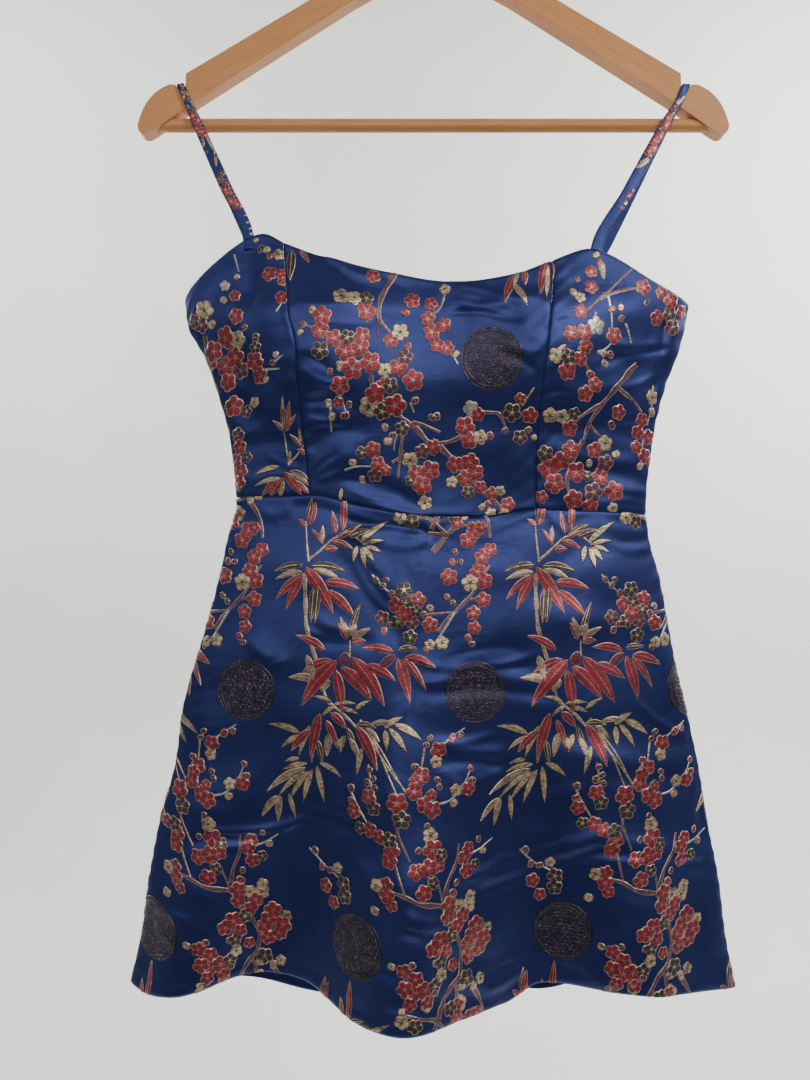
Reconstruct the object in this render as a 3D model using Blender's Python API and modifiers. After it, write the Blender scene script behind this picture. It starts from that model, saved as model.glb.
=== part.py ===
"""A short satin slip dress in the cheongsam style, hanging from a wooden hanger.

The dress is cut as the real one is: a centre front and two side fronts joined by princess seams,
a back in two halves with a concealed zip between them, a skirt front, two skirt backs and two straps.
Left and right are those of someone looking at the front, left being -X. +Y points away from them.
The origin is the inside of the hook's bend, where the rail carries the hanger.
Sizes below are in millimetres and are turned into metres where a shape is made.
"""

import math
from collections import namedtuple

import bmesh
import bpy
from mathutils import Vector

MM = 0.001
SEAM_GAP = 0.3  # between two pieces that are sewn or set together
WALL = 1.2  # satin, its lining and the turnings between them
STRAP_WALL = 1.9  # a strap is folded into four layers

# Points across one piece of cloth and down it
Cut = namedtuple("Cut", "across down")
CUTS = {
    "centre_front": Cut(16, 11),
    "side_front": Cut(9, 11),
    "half_back": Cut(11, 9),
    "skirt_front": Cut(36, 18),
    "half_skirt_back": Cut(18, 18),
    "strap": Cut(2, 34),
}

# The dress across, at each height: how far it reaches left and right of the middle line,
# and how far the front and the back stand out from the line of the side seams
Section = namedtuple("Section", "height left right front back")
SECTIONS = (
    Section(-850.0, 226.3, 225.2, 24.0, 24.0),
    Section(-808.0, 217.0, 217.2, 25.0, 24.0),
    Section(-765.0, 210.9, 211.8, 26.0, 23.0),
    Section(-727.0, 204.0, 204.3, 27.0, 22.5),
    Section(-680.0, 191.5, 196.6, 28.0, 22.0),
    Section(-640.0, 186.0, 187.8, 28.0, 21.0),
    Section(-615.0, 179.5, 181.6, 28.0, 20.4),
    Section(-600.0, 174.8, 178.6, 28.0, 20.0),
    Section(-540.0, 158.2, 167.2, 25.0, 17.0),
    Section(-514.0, 152.8, 160.6, 22.3, 15.3),
    Section(-489.0, 146.2, 158.2, 20.0, 14.0),
    Section(-440.0, 150.8, 163.2, 26.0, 15.0),
    Section(-400.0, 161.5, 172.6, 34.0, 18.0),
    Section(-380.0, 168.6, 180.4, 36.0, 19.2),
    Section(-355.0, 182.2, 187.3, 37.0, 20.0),
    Section(-332.0, 184.0, 190.5, 31.0, 18.0),
    Section(-288.0, 180.0, 189.0, 22.0, 14.0),
)

# Edges that run across the dress: share of the half width, and height on the front or the back
Edge = namedtuple("Edge", "share height")
FRONT_TOP = (
    Edge(-1.0, -336.5),
    Edge(-0.96, -326.5),
    Edge(-0.87, -311.0),
    Edge(-0.745, -294.5),
    Edge(-0.69, -292.5),
    Edge(-0.585, -301.2),
    Edge(-0.385, -314.0),
    Edge(-0.17, -323.5),
    Edge(0.1, -330.5),
    Edge(0.31, -325.0),
    Edge(0.445, -315.0),
    Edge(0.6, -304.5),
    Edge(0.655, -307.2),
    Edge(0.84, -326.5),
    Edge(1.0, -340.0),
)
BACK_TOP = (
    Edge(-1.0, -336.5),
    Edge(-0.62, -331.5),
    Edge(0.0, -338.0),
    Edge(0.62, -332.0),
    Edge(1.0, -340.0),
)
FRONT_WAIST = (
    Edge(-1.0, -483.5),
    Edge(-0.62, -482.0),
    Edge(-0.38, -489.0),
    Edge(-0.1, -497.0),
    Edge(0.15, -498.5),
    Edge(0.48, -492.5),
    Edge(0.75, -493.5),
    Edge(1.0, -496.0),
)
BACK_WAIST = (
    Edge(-1.0, -483.5),
    Edge(-0.4, -488.0),
    Edge(0.3, -494.0),
    Edge(1.0, -496.0),
)
FRONT_HEM = (
    Edge(-1.0, -843.5),
    Edge(-0.93, -846.0),
    Edge(-0.84, -843.0),
    Edge(-0.6, -834.5),
    Edge(-0.42, -836.0),
    Edge(-0.25, -850.0),
    Edge(-0.1, -853.0),
    Edge(0.06, -851.0),
    Edge(0.22, -851.0),
    Edge(0.36, -840.5),
    Edge(0.6, -837.8),
    Edge(0.85, -844.0),
    Edge(1.0, -847.5),
)
BACK_HEM = (
    Edge(-1.0, -843.5),
    Edge(-0.75, -853.0),
    Edge(-0.45, -862.0),
    Edge(-0.1, -861.0),
    Edge(0.3, -858.0),
    Edge(0.7, -855.0),
    Edge(1.0, -847.5),
)

# The princess seams: where each one crosses the front, as a share of the half width
Seam = namedtuple("Seam", "height left right")
PRINCESS_SEAMS = (
    Seam(-500.0, -0.613, 0.475),
    Seam(-470.0, -0.622, 0.462),
    Seam(-440.0, -0.627, 0.452),
    Seam(-400.0, -0.603, 0.44),
    Seam(-360.0, -0.566, 0.433),
    Seam(-330.0, -0.577, 0.44),
    Seam(-300.0, -0.601, 0.445),
)

# Folds that the hanging cloth makes: middle and half width as shares of the dress's half width,
# how far the fold stands out at the hem, and where it has died away, higher up
Fold = namedtuple("Fold", "middle spread stands_out starts lean")
FRONT_FOLDS = (
    Fold(-0.1, 0.21, 35.0, -560.0, 0.03),
    Fold(-0.53, 0.17, -17.0, -600.0, 0.06),
    Fold(0.35, 0.15, -16.0, -610.0, -0.04),
    Fold(-0.85, 0.13, 17.0, -640.0, 0.05),
    Fold(0.68, 0.16, 15.0, -620.0, 0.0),
)
BACK_FOLDS = (
    Fold(-0.62, 0.15, 14.0, -610.0, 0.04),
    Fold(-0.3, 0.13, -8.0, -640.0, 0.02),
    Fold(0.04, 0.16, 17.0, -590.0, 0.0),
    Fold(0.36, 0.12, -9.0, -650.0, -0.02),
    Fold(0.64, 0.16, 13.0, -600.0, -0.03),
)

# Fullness that the princess seams give the bodice, and the hollow between the cups
Bump = namedtuple("Bump", "share height wide tall stands_out")
BODICE_BUMPS = (
    Bump(-0.52, -374.0, 0.26, 44.0, 9.0),
    Bump(0.46, -378.0, 0.26, 44.0, 9.0),
    Bump(-0.04, -352.0, 0.22, 36.0, -6.0),
    Bump(-0.88, -376.0, 0.08, 50.0, -4.0),
    Bump(0.86, -372.0, 0.09, 46.0, -5.0),
)

SIDE_ROUNDING = 2.3  # a higher power makes a flatter front and a tighter side
SIDE_STEEPNESS = 0.55

# The hanger, seen from the front, its right half from the top of the neck to the crotch of the arms
HANGER_HALF_THICKNESS = 6.4
HANGER_EDGE_ROUNDING = 1.9
NECK_TOP = -67.0
HANGER_RIGHT_HALF = (
    (9.0, -67.0),
    (15.5, -69.0),
    (23.0, -74.5),
    (183.2, -169.8),
    (183.5, -179.6),
    (190.2, -179.6),
    (190.7, -178.0),
    (195.8, -177.9),
    (203.9, -182.3),
    (211.0, -189.3),
    (215.6, -197.4),
    (218.3, -205.5),
    (219.0, -208.5),
    (218.0, -212.0),
    (215.0, -214.2),
    (210.6, -213.4),
    (200.0, -206.6),
    (173.5, -188.2),
    (82.8, -130.6),
    (58.0, -114.9),
    (40.0, -104.8),
    (22.0, -98.6),
)
TIP_START, TIP_END = 7, 16  # the outline's points that are rounded further, round the arm's end
TIP_STEPS = 3
NOTCH_FLOOR = -179.6
NOTCH_MIDDLE = 186.9
CROTCH = -96.8
BAR_HEIGHT = -205.5
BAR_RADIUS = 4.9
BAR_REACH = 211.5
SOCKET_CLEARANCE = 0.3
HOOK_WIRE_RADIUS = 2.0
HOOK_INNER_RADIUS = 20.0
HOOK_STEM_FOOT = -88.0
HOOK_HOLE_DEPTH = -88.3

# The straps: where each leaves the front and the back of the dress
StrapEnds = namedtuple("StrapEnds", "front_share front_height back_share back_height")
STRAPS = {
    "left": StrapEnds(-0.75, -294.8, -0.645, -331.6),
    "right": StrapEnds(0.62, -304.9, 0.585, -331.6),
}
STRAP_WIDTH = 8.6
STRAP_WIDTH_IN_NOTCH = 5.7
STRAP_TUCK = 9.0  # how far an end runs down inside the dress
STRAP_CLEARANCE = 0.6  # between a strap and the wood it hangs over

# The zip's slider and pull, at the top of the centre back
SLIDER_TOP = -341.0
SLIDER_WIDTH = 5.6
SLIDER_THICKNESS = 2.2
SLIDER_LENGTH = 9.0
BRIDGE_WIDTH = 1.6
BRIDGE_THICKNESS = 0.8
BRIDGE_LENGTH = 4.8
BRIDGE_CLEAR_HEIGHT = 2.4  # under the bridge, where the pull's bar turns
BRIDGE_TOP = -1.4  # from the slider's top end
PULL_BAR = -3.2  # from the slider's top end to the middle of the bar
PULL_THICKNESS = 1.1
PULL_WINDOW_WIDTH = 2.6
PULL_WINDOW_LENGTH = 4.4
PULL_HALF_OUTLINE = (
    (0.0, 0.55),
    (1.7, 0.55),
    (2.3, 0.0),
    (2.4, -3.0),
    (2.1, -6.4),
    (1.3, -9.5),
    (1.5, -14.0),
    (2.4, -19.0),
    (2.3, -22.0),
    (1.2, -23.6),
    (0.0, -24.0),
)


def smooth(rows, column, at):
    """A table's column at a place, on a curve through its rows that never overshoots them."""
    places = [row[0] for row in rows]
    values = [getattr(row, column) for row in rows]
    order = sorted(range(len(rows)), key=places.__getitem__)
    places = [places[i] for i in order]
    values = [values[i] for i in order]
    if at <= places[0]:
        return values[0]
    if at >= places[-1]:
        return values[-1]
    gaps = [b - a for a, b in zip(places, places[1:])]
    rises = [(b - a) / gap for a, b, gap in zip(values, values[1:], gaps)]
    slopes = [rises[0]]
    for before, after in zip(rises, rises[1:]):
        together = before * after > 0
        slopes.append(2 * before * after / (before + after) if together else 0.0)
    slopes.append(rises[-1])
    i = max(k for k in range(len(gaps)) if places[k] <= at)
    t = (at - places[i]) / gaps[i]
    return (
        values[i] * (1 + 2 * t) * (1 - t) ** 2
        + slopes[i] * gaps[i] * t * (1 - t) ** 2
        + values[i + 1] * t * t * (3 - 2 * t)
        + slopes[i + 1] * gaps[i] * t * t * (t - 1)
    )


def between(a, b, share):
    return a + (b - a) * share


def eased(share):
    """0 to 1 with a soft start and end."""
    share = min(1.0, max(0.0, share))
    return share * share * (3 - 2 * share)


def fold_height(folds, share, height):
    """How far all the folds together push the cloth out, at one point of the skirt."""
    total = 0.0
    for fold in folds:
        down = (fold.starts - height) / (fold.starts - SECTIONS[0].height)
        middle = fold.middle + fold.lean * (1 - min(1.0, max(0.0, down)))
        across = math.exp(-(((share - middle) / fold.spread) ** 2))
        total += fold.stands_out * across * eased(down)
    return total


def bump_height(share, height):
    """How far the cups and hollows push the front of the bodice out."""
    total = 0.0
    for bump in BODICE_BUMPS:
        far = ((share - bump.share) / bump.wide) ** 2
        far += ((height - bump.height) / bump.tall) ** 2
        total += bump.stands_out * math.exp(-far)
    return total


def on_dress(side, share, height):
    """A point of the cloth's inner face. side is front or back, share runs from -1 at the left seam to 1."""
    reach = smooth(SECTIONS, "right" if share > 0 else "left", height)
    roundness = max(0.0, 1 - abs(share) ** SIDE_ROUNDING) ** SIDE_STEEPNESS
    depth = smooth(SECTIONS, side, height) * roundness
    open_share = 1 - abs(share) ** 8  # folds and bumps die out at the side seams
    if side == "front":
        depth += open_share * (fold_height(FRONT_FOLDS, share, height) + bump_height(share, height))
        return Vector((share * reach, -SEAM_GAP / 2 - depth, height))
    depth += open_share * fold_height(BACK_FOLDS, share, height)
    return Vector((share * reach, SEAM_GAP / 2 + depth, height))


def toward_sides(share):
    """Moves evenly spaced shares closer together near the side seams, where the cloth turns."""
    return 0.35 * share + 0.65 * math.sin(share * math.pi / 2)


def set_gap(share, height, side_of_seam):
    """A seam's share of the half width, moved half a seam gap to one side."""
    reach = smooth(SECTIONS, "right" if share > 0 else "left", height)
    return share + side_of_seam * SEAM_GAP / 2 / reach


def panel_place(side, left_edge, right_edge, top, bottom, top_gap, bottom_gap):
    """The function that puts a grid's point (u, v) on a piece of the dress.

    u runs to the viewer's right on the front and to their left on the back, so that faces point outwards.
    left_edge and right_edge take a height and give a share, top and bottom are tables of Edge.
    """

    def place(u, v):
        if side == "back":
            u = 1 - u
        middle_height = between(top[0].height, bottom[0].height, v)
        for _ in range(3):  # the edges' shares depend on the height, and the height on the share
            share = between(left_edge(middle_height), right_edge(middle_height), u)
            high = smooth(top, "height", share) - top_gap
            low = smooth(bottom, "height", share) + bottom_gap
            middle_height = between(high, low, v)
        return on_dress(side, share, middle_height)

    return place


def side_seam(sign):
    return lambda height: float(sign)


def princess(column, side_of_seam):
    return lambda height: set_gap(smooth(PRINCESS_SEAMS, column, height), height, side_of_seam)


def centre_back(side_of_seam):
    return lambda height: set_gap(0.0, height, side_of_seam)


def colour(name, rgb, roughness, metallic):
    made = bpy.data.materials.new(name)
    made.use_nodes = True
    shader = made.node_tree.nodes["Principled BSDF"]
    shader.inputs["Base Color"].default_value = (*rgb, 1.0)
    shader.inputs["Roughness"].default_value = roughness
    shader.inputs["Metallic"].default_value = metallic
    return made


def keep(obj, name, material, parts):
    """Names a finished object, gives it its material and moves it to the dress's collection."""
    obj.name = name
    obj.data.name = name
    obj.data.materials.clear()
    obj.data.materials.append(material)
    for collection in list(obj.users_collection):
        collection.objects.unlink(obj)
    parts.objects.link(obj)
    return obj


def cloth_piece(name, place, cut, wall, material, parts):
    """A flat grid laid on the dress by place(u, v), given the cloth's thickness outwards."""
    bpy.ops.mesh.primitive_grid_add(x_subdivisions=cut.across, y_subdivisions=cut.down, size=2)
    obj = bpy.context.object
    for vertex in obj.data.vertices:
        u, v = (vertex.co.x + 1) / 2, (1 - vertex.co.y) / 2
        vertex.co = place(u, v) * MM
    obj.data.shade_smooth()
    solid = obj.modifiers.new("Wall", "SOLIDIFY")
    solid.thickness = wall * MM
    solid.offset = 1.0
    return keep(obj, name, material, parts)


def crowded(place, share_of_u):
    """place() with its u moved by share_of_u, which crowds the points where the cloth turns."""
    return lambda u, v: place(share_of_u(u), v)


def crowd_left(u):
    return 1 - math.sin((1 - u) * math.pi / 2) * 0.5 - (1 - u) * 0.5


def crowd_right(u):
    return math.sin(u * math.pi / 2) * 0.5 + u * 0.5


def crowd_both(u):
    return (toward_sides(2 * u - 1) + 1) / 2


def build_bodice(satin, parts):
    half_gap = SEAM_GAP / 2
    down_to_waist = {"top": FRONT_TOP, "bottom": FRONT_WAIST, "top_gap": 0.0, "bottom_gap": half_gap}
    centre = panel_place("front", princess("left", 1), princess("right", -1), **down_to_waist)
    cloth_piece("centre_front", centre, CUTS["centre_front"], WALL, satin, parts)
    left = panel_place("front", side_seam(-1), princess("left", -1), **down_to_waist)
    cloth_piece("side_front_left", crowded(left, crowd_left), CUTS["side_front"], WALL, satin, parts)
    right = panel_place("front", princess("right", 1), side_seam(1), **down_to_waist)
    cloth_piece("side_front_right", crowded(right, crowd_right), CUTS["side_front"], WALL, satin, parts)
    behind = {"top": BACK_TOP, "bottom": BACK_WAIST, "top_gap": 0.0, "bottom_gap": half_gap}
    back_left = panel_place("back", side_seam(-1), centre_back(-1), **behind)
    cloth_piece("back_left", crowded(back_left, crowd_right), CUTS["half_back"], WALL, satin, parts)
    back_right = panel_place("back", centre_back(1), side_seam(1), **behind)
    cloth_piece("back_right", crowded(back_right, crowd_left), CUTS["half_back"], WALL, satin, parts)


def build_skirt(satin, parts):
    half_gap = SEAM_GAP / 2
    in_front = {"top": FRONT_WAIST, "bottom": FRONT_HEM, "top_gap": half_gap, "bottom_gap": 0.0}
    front = panel_place("front", side_seam(-1), side_seam(1), **in_front)
    cloth_piece("skirt_front", crowded(front, crowd_both), CUTS["skirt_front"], WALL, satin, parts)
    behind = {"top": BACK_WAIST, "bottom": BACK_HEM, "top_gap": half_gap, "bottom_gap": 0.0}
    left = panel_place("back", side_seam(-1), centre_back(-1), **behind)
    cloth_piece("skirt_back_left", crowded(left, crowd_right), CUTS["half_skirt_back"], WALL, satin, parts)
    right = panel_place("back", centre_back(1), side_seam(1), **behind)
    cloth_piece("skirt_back_right", crowded(right, crowd_left), CUTS["half_skirt_back"], WALL, satin, parts)


# One point of a strap's middle line, its width there and the way its outer face looks
StrapPoint = namedtuple("StrapPoint", "place x y z width out_x out_y out_z")


def outward(side, share, height):
    """The direction straight out of the dress at one point."""
    across = on_dress(side, share + 0.01, height) - on_dress(side, share - 0.01, height)
    up = on_dress(side, share, height + 1) - on_dress(side, share, height - 1)
    straight = across.cross(up).normalized()
    return straight if side == "front" else -straight


def strap_end(side, share, height):
    """Where a strap lies inside the dress, and which way its outer face looks there."""
    looks = outward(side, share, height)
    return on_dress(side, share, height) - looks * (STRAP_WALL + SEAM_GAP + 0.1), looks


def strap_route(side):
    """The strap's points from its end inside the front, over the hanger's notch, to its end inside the back."""
    ends = STRAPS[side]
    sign = -1 if side == "left" else 1
    front_low, front_out = strap_end("front", ends.front_share * 0.99, ends.front_height - STRAP_TUCK)
    front_edge, edge_out = strap_end("front", ends.front_share, ends.front_height)
    back_low, back_out = strap_end("back", ends.back_share * 0.99, ends.back_height - STRAP_TUCK)
    back_edge, back_edge_out = strap_end("back", ends.back_share, ends.back_height)
    notch_x = sign * NOTCH_MIDDLE
    face_y = HANGER_HALF_THICKNESS + STRAP_CLEARANCE
    floor = NOTCH_FLOOR + STRAP_CLEARANCE
    turn = HANGER_EDGE_ROUNDING
    wide, narrow = STRAP_WIDTH, STRAP_WIDTH_IN_NOTCH
    lean = sign * 4.0
    front, up, back = Vector((0, -1, 0)), Vector((0, 0, 1)), Vector((0, 1, 0))

    def rising(start, share, y):
        x = between(start.x, notch_x, share)
        return Vector((x, between(start.y, y, eased(share * 1.2)), between(start.z, floor, share)))

    rows = (
        (front_low, wide, front_out),
        (front_edge, wide, edge_out),
        (rising(front_edge, 0.35, -face_y), wide, front),
        (rising(front_edge, 0.75, -face_y), 7.6, front),
        (Vector((notch_x - lean, -face_y, floor - 9.0)), narrow, front),
        (Vector((notch_x - lean * 0.3, -face_y, floor - turn)), narrow, front),
        (Vector((notch_x, -face_y + turn * 0.3, floor - turn * 0.3)), narrow, front + up),
        (Vector((notch_x, -face_y + turn, floor)), narrow, up),
        (Vector((notch_x, face_y - turn, floor)), narrow, up),
        (Vector((notch_x, face_y - turn * 0.3, floor - turn * 0.3)), narrow, up + back),
        (Vector((notch_x - lean * 0.3, face_y, floor - turn)), narrow, back),
        (Vector((notch_x - lean, face_y, floor - 9.0)), narrow, back),
        (rising(back_edge, 0.7, face_y), 7.6, back),
        (rising(back_edge, 0.3, face_y), wide, back),
        (back_edge, wide, back_edge_out),
        (back_low, wide, back_out),
    )
    travelled, route = 0.0, []
    for i, (centre, width, looks) in enumerate(rows):
        if i:
            travelled += (centre - rows[i - 1][0]).length
        route.append(StrapPoint(travelled, *centre, width, *looks.normalized()))
    return route


def strap_place(side):
    """The function that lays a strap's grid along its route."""
    route = strap_route(side)
    length = route[-1].place
    crowd = [0.0]  # shares of the length, with more points where the strap turns over the wood
    for before, after in zip(route, route[1:]):
        turned = Vector(before[5:]).angle(Vector(after[5:])) / math.pi
        crowd.append(crowd[-1] + (after.place - before.place) / length + turned * 0.3)

    def centre(at):
        return Vector([smooth(route, axis, at) for axis in "xyz"])

    def place(u, v):
        wanted = (1 - v) * crowd[-1]
        i = min(max(k for k in range(len(crowd)) if crowd[k] <= wanted + 1e-9), len(crowd) - 2)
        share = (wanted - crowd[i]) / (crowd[i + 1] - crowd[i])
        at = between(route[i].place, route[i + 1].place, share)
        step = 0.4
        along = (centre(min(length, at + step)) - centre(max(0.0, at - step))).normalized()
        looks = Vector([smooth(route, axis, at) for axis in ("out_x", "out_y", "out_z")])
        across = along.cross(looks).normalized()
        return centre(at) + across * smooth(route, "width", at) * (u - 0.5)

    return place


def build_straps(satin, parts):
    for side in STRAPS:
        cloth_piece(f"strap_{side}", strap_place(side), CUTS["strap"], STRAP_WALL, satin, parts)


def mesh_from_curve(curve_object):
    """A curve made into a closed mesh object in the same place, with its caps welded on."""
    bpy.context.view_layer.update()
    seen = curve_object.evaluated_get(bpy.context.evaluated_depsgraph_get())
    mesh = bpy.data.meshes.new_from_object(seen)
    work = bmesh.new()
    work.from_mesh(mesh)
    bmesh.ops.remove_doubles(work, verts=work.verts, dist=0.01 * MM)
    bmesh.ops.recalc_face_normals(work, faces=work.faces)
    work.to_mesh(mesh)
    work.free()
    made = bpy.data.objects.new(curve_object.name, mesh)
    made.matrix_world = curve_object.matrix_world
    bpy.context.scene.collection.objects.link(made)
    bpy.data.objects.remove(curve_object)
    return made


def flat_outline(name, outline, half_thickness):
    """A plate in the XZ plane with this outline, given from the front."""
    curve = bpy.data.curves.new(name, "CURVE")
    curve.dimensions = "2D"
    curve.fill_mode = "BOTH"
    curve.extrude = half_thickness * MM
    spline = curve.splines.new("POLY")
    spline.points.add(len(outline) - 1)
    for point, (x, z) in zip(spline.points, outline):
        point.co = (x * MM, z * MM, 0.0, 1.0)
    spline.use_cyclic_u = True
    obj = bpy.data.objects.new(name, curve)
    bpy.context.scene.collection.objects.link(obj)
    obj.rotation_euler.x = math.pi / 2
    return mesh_from_curve(obj)


def wire(name, points, radius, resolution):
    """A round rod along these points, with closed ends."""
    curve = bpy.data.curves.new(name, "CURVE")
    curve.dimensions = "3D"
    curve.bevel_depth = radius * MM
    curve.bevel_resolution = resolution
    curve.use_fill_caps = True
    spline = curve.splines.new("POLY")
    spline.points.add(len(points) - 1)
    for point, place in zip(spline.points, points):
        point.co = (*(Vector(place) * MM), 1.0)
    obj = bpy.data.objects.new(name, curve)
    bpy.context.scene.collection.objects.link(obj)
    return obj


def cutter(name, radius, depth, location, turn, cutters):
    """A cylinder that cuts a hole, left out of the model itself."""
    bpy.ops.mesh.primitive_cylinder_add(
        vertices=24,
        radius=radius * MM,
        depth=depth * MM,
        location=Vector(location) * MM,
        rotation=turn,
    )
    obj = bpy.context.object
    obj.name = name
    obj.hide_render = True
    obj.display_type = "WIRE"
    for collection in list(obj.users_collection):
        collection.objects.unlink(obj)
    cutters.objects.link(obj)
    return obj


def cut(obj, tool, operation="DIFFERENCE"):
    modifier = obj.modifiers.new(tool.name, "BOOLEAN")
    modifier.operation = operation
    modifier.object = tool


def rounded_tip(outline):
    """The hanger's outline with a smooth curve through the points round the arm's end."""
    smooth = list(outline[:TIP_START])
    for index in range(TIP_START, TIP_END):
        before, start, end, after = (Vector(point) for point in outline[index - 1 : index + 3])
        if index == TIP_START:
            before = start
        for step in range(TIP_STEPS):
            t = step / TIP_STEPS
            bend = (2 * before - 5 * start + 4 * end - after) * t * t
            turn = (3 * start - before - 3 * end + after) * t * t * t
            smooth.append(tuple((2 * start + (end - before) * t + bend + turn) / 2))
    return smooth + list(outline[TIP_END:])


def build_hanger(wood, steel, parts, cutters):
    """The two arms in one piece of wood, the bar between their ends and the hook."""
    right_half = rounded_tip(HANGER_RIGHT_HALF)
    right = [(0.0, NECK_TOP)] + right_half
    left = [(-x, z) for x, z in reversed(right_half)]
    arms = flat_outline("hanger_arms", right + [(0.0, CROTCH)] + left, HANGER_HALF_THICKNESS)
    rounding = arms.modifiers.new("Rounding", "BEVEL")
    rounding.width = HANGER_EDGE_ROUNDING * MM
    rounding.segments = 2
    rounding.limit_method = "ANGLE"
    rounding.angle_limit = math.radians(60)
    socket_length = 40.0
    for sign, side in ((-1, "left"), (1, "right")):
        middle = sign * (BAR_REACH + SOCKET_CLEARANCE - socket_length / 2)
        socket = cutter(
            f"socket_{side}",
            BAR_RADIUS + SOCKET_CLEARANCE,
            socket_length,
            (middle, 0.0, BAR_HEIGHT),
            (0.0, math.pi / 2, 0.0),
            cutters,
        )
        cut(arms, socket)
    hole_length = 40.0
    hook_hole = cutter(
        "hook_hole",
        HOOK_WIRE_RADIUS + SOCKET_CLEARANCE,
        hole_length,
        (0.0, 0.0, HOOK_HOLE_DEPTH + hole_length / 2),
        (0.0, 0.0, 0.0),
        cutters,
    )
    cut(arms, hook_hole)
    keep(arms, "hanger_arms", wood, parts)

    bpy.ops.mesh.primitive_cylinder_add(
        vertices=20,
        radius=BAR_RADIUS * MM,
        depth=2 * BAR_REACH * MM,
        location=(0.0, 0.0, BAR_HEIGHT * MM),
        rotation=(0.0, math.pi / 2, 0.0),
    )
    bar = bpy.context.object
    bar.data.set_sharp_from_angle(angle=math.radians(40))
    keep(bar, "hanger_bar", wood, parts)

    hook = wire("hanger_hook", hook_line(), HOOK_WIRE_RADIUS, 4)
    keep(hook, "hanger_hook", steel, parts)


def hook_line():
    """The hook's wire: a straight stem, a swing to one side, and most of a circle over the rail."""
    radius = HOOK_INNER_RADIUS + HOOK_WIRE_RADIUS
    centre = Vector((0.0, 0.0, -HOOK_INNER_RADIUS))
    stem = [(0.0, 0.0, HOOK_STEM_FOOT), (0.0, 0.0, -68.0), (0.0, 0.0, -59.0)]
    swing = [(0.6, 0.0, -54.0), (2.6, 0.0, -49.0), (6.6, 0.0, -44.4), (11.2, 0.0, -40.0)]
    bend, step, opening = [], 12, 190
    for degrees in range(-46, opening + 1, step):
        angle = math.radians(degrees)
        bend.append(centre + radius * Vector((math.cos(angle), 0.0, math.sin(angle))))
    return [Vector(p) for p in stem + swing] + bend


def joined(name, first, others):
    """Several overlapping solids made one by Boolean union, in world space."""
    for other in others:
        modifier = first.modifiers.new("Join", "BOOLEAN")
        modifier.operation = "UNION"
        modifier.object = other
    bpy.context.view_layer.update()
    seen = first.evaluated_get(bpy.context.evaluated_depsgraph_get())
    mesh = bpy.data.meshes.new_from_object(seen)
    mesh.transform(first.matrix_world)
    made = bpy.data.objects.new(name, mesh)
    bpy.context.scene.collection.objects.link(made)
    for obj in [first, *others]:
        bpy.data.objects.remove(obj)
    return made


def block(size, centre):
    bpy.ops.mesh.primitive_cube_add(size=1.0, location=Vector(centre) * MM)
    obj = bpy.context.object
    obj.scale = Vector(size) * MM
    bpy.ops.object.transform_apply(location=False, rotation=False, scale=True)
    return obj


def pull_axis():
    """The middle of the bar that the zip's pull swings on."""
    low_end = SLIDER_TOP - SLIDER_LENGTH
    cloth = on_dress("back", 0.0, low_end).y + WALL + SEAM_GAP
    return Vector((0.0, cloth + SLIDER_THICKNESS + BRIDGE_CLEAR_HEIGHT / 2, SLIDER_TOP + PULL_BAR))


def build_zip(metal, parts, cutters):
    """The slider with the bridge across it, and the pull whose bar turns under the bridge."""
    axis = pull_axis()
    face = axis.y - BRIDGE_CLEAR_HEIGHT / 2
    middle = SLIDER_TOP - SLIDER_LENGTH / 2
    size = (SLIDER_WIDTH, SLIDER_THICKNESS, SLIDER_LENGTH)
    body = block(size, (0.0, face - SLIDER_THICKNESS / 2, middle))
    top, low = SLIDER_TOP + BRIDGE_TOP, SLIDER_TOP + BRIDGE_TOP - BRIDGE_LENGTH
    sunk = 0.4  # the legs run into the body they are joined to
    leg_height = BRIDGE_CLEAR_HEIGHT + BRIDGE_THICKNESS / 2 + sunk
    leg = (BRIDGE_WIDTH, leg_height, BRIDGE_THICKNESS)
    leg_y = face - sunk + leg_height / 2
    upper = block(leg, (0.0, leg_y, top - BRIDGE_THICKNESS / 2))
    lower = block(leg, (0.0, leg_y, low + BRIDGE_THICKNESS / 2))
    span = (BRIDGE_WIDTH, BRIDGE_THICKNESS, BRIDGE_LENGTH)
    bridge_y = face + BRIDGE_CLEAR_HEIGHT + BRIDGE_THICKNESS / 2
    bridge = block(span, (0.0, bridge_y, (top + low) / 2))
    slider = joined("zip_slider", body, [upper, lower, bridge])
    keep(slider, "zip_slider", metal, parts)

    mirrored = [(-x, z) for x, z in reversed(PULL_HALF_OUTLINE[1:-1])]
    outline = list(PULL_HALF_OUTLINE) + mirrored
    pull = flat_outline("pull_plate", outline, PULL_THICKNESS / 2)
    window = block(
        (PULL_WINDOW_WIDTH, PULL_THICKNESS * 3, PULL_WINDOW_LENGTH),
        (0.0, 0.0, -PULL_THICKNESS / 2 - PULL_WINDOW_LENGTH / 2),
    )
    window.name = "pull_window"
    cut(pull, window)
    bpy.context.view_layer.update()
    pull = joined("zip_pull", pull, [])
    bpy.data.objects.remove(window)
    pull.location = axis * MM
    keep(pull, "zip_pull", metal, parts)


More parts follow.
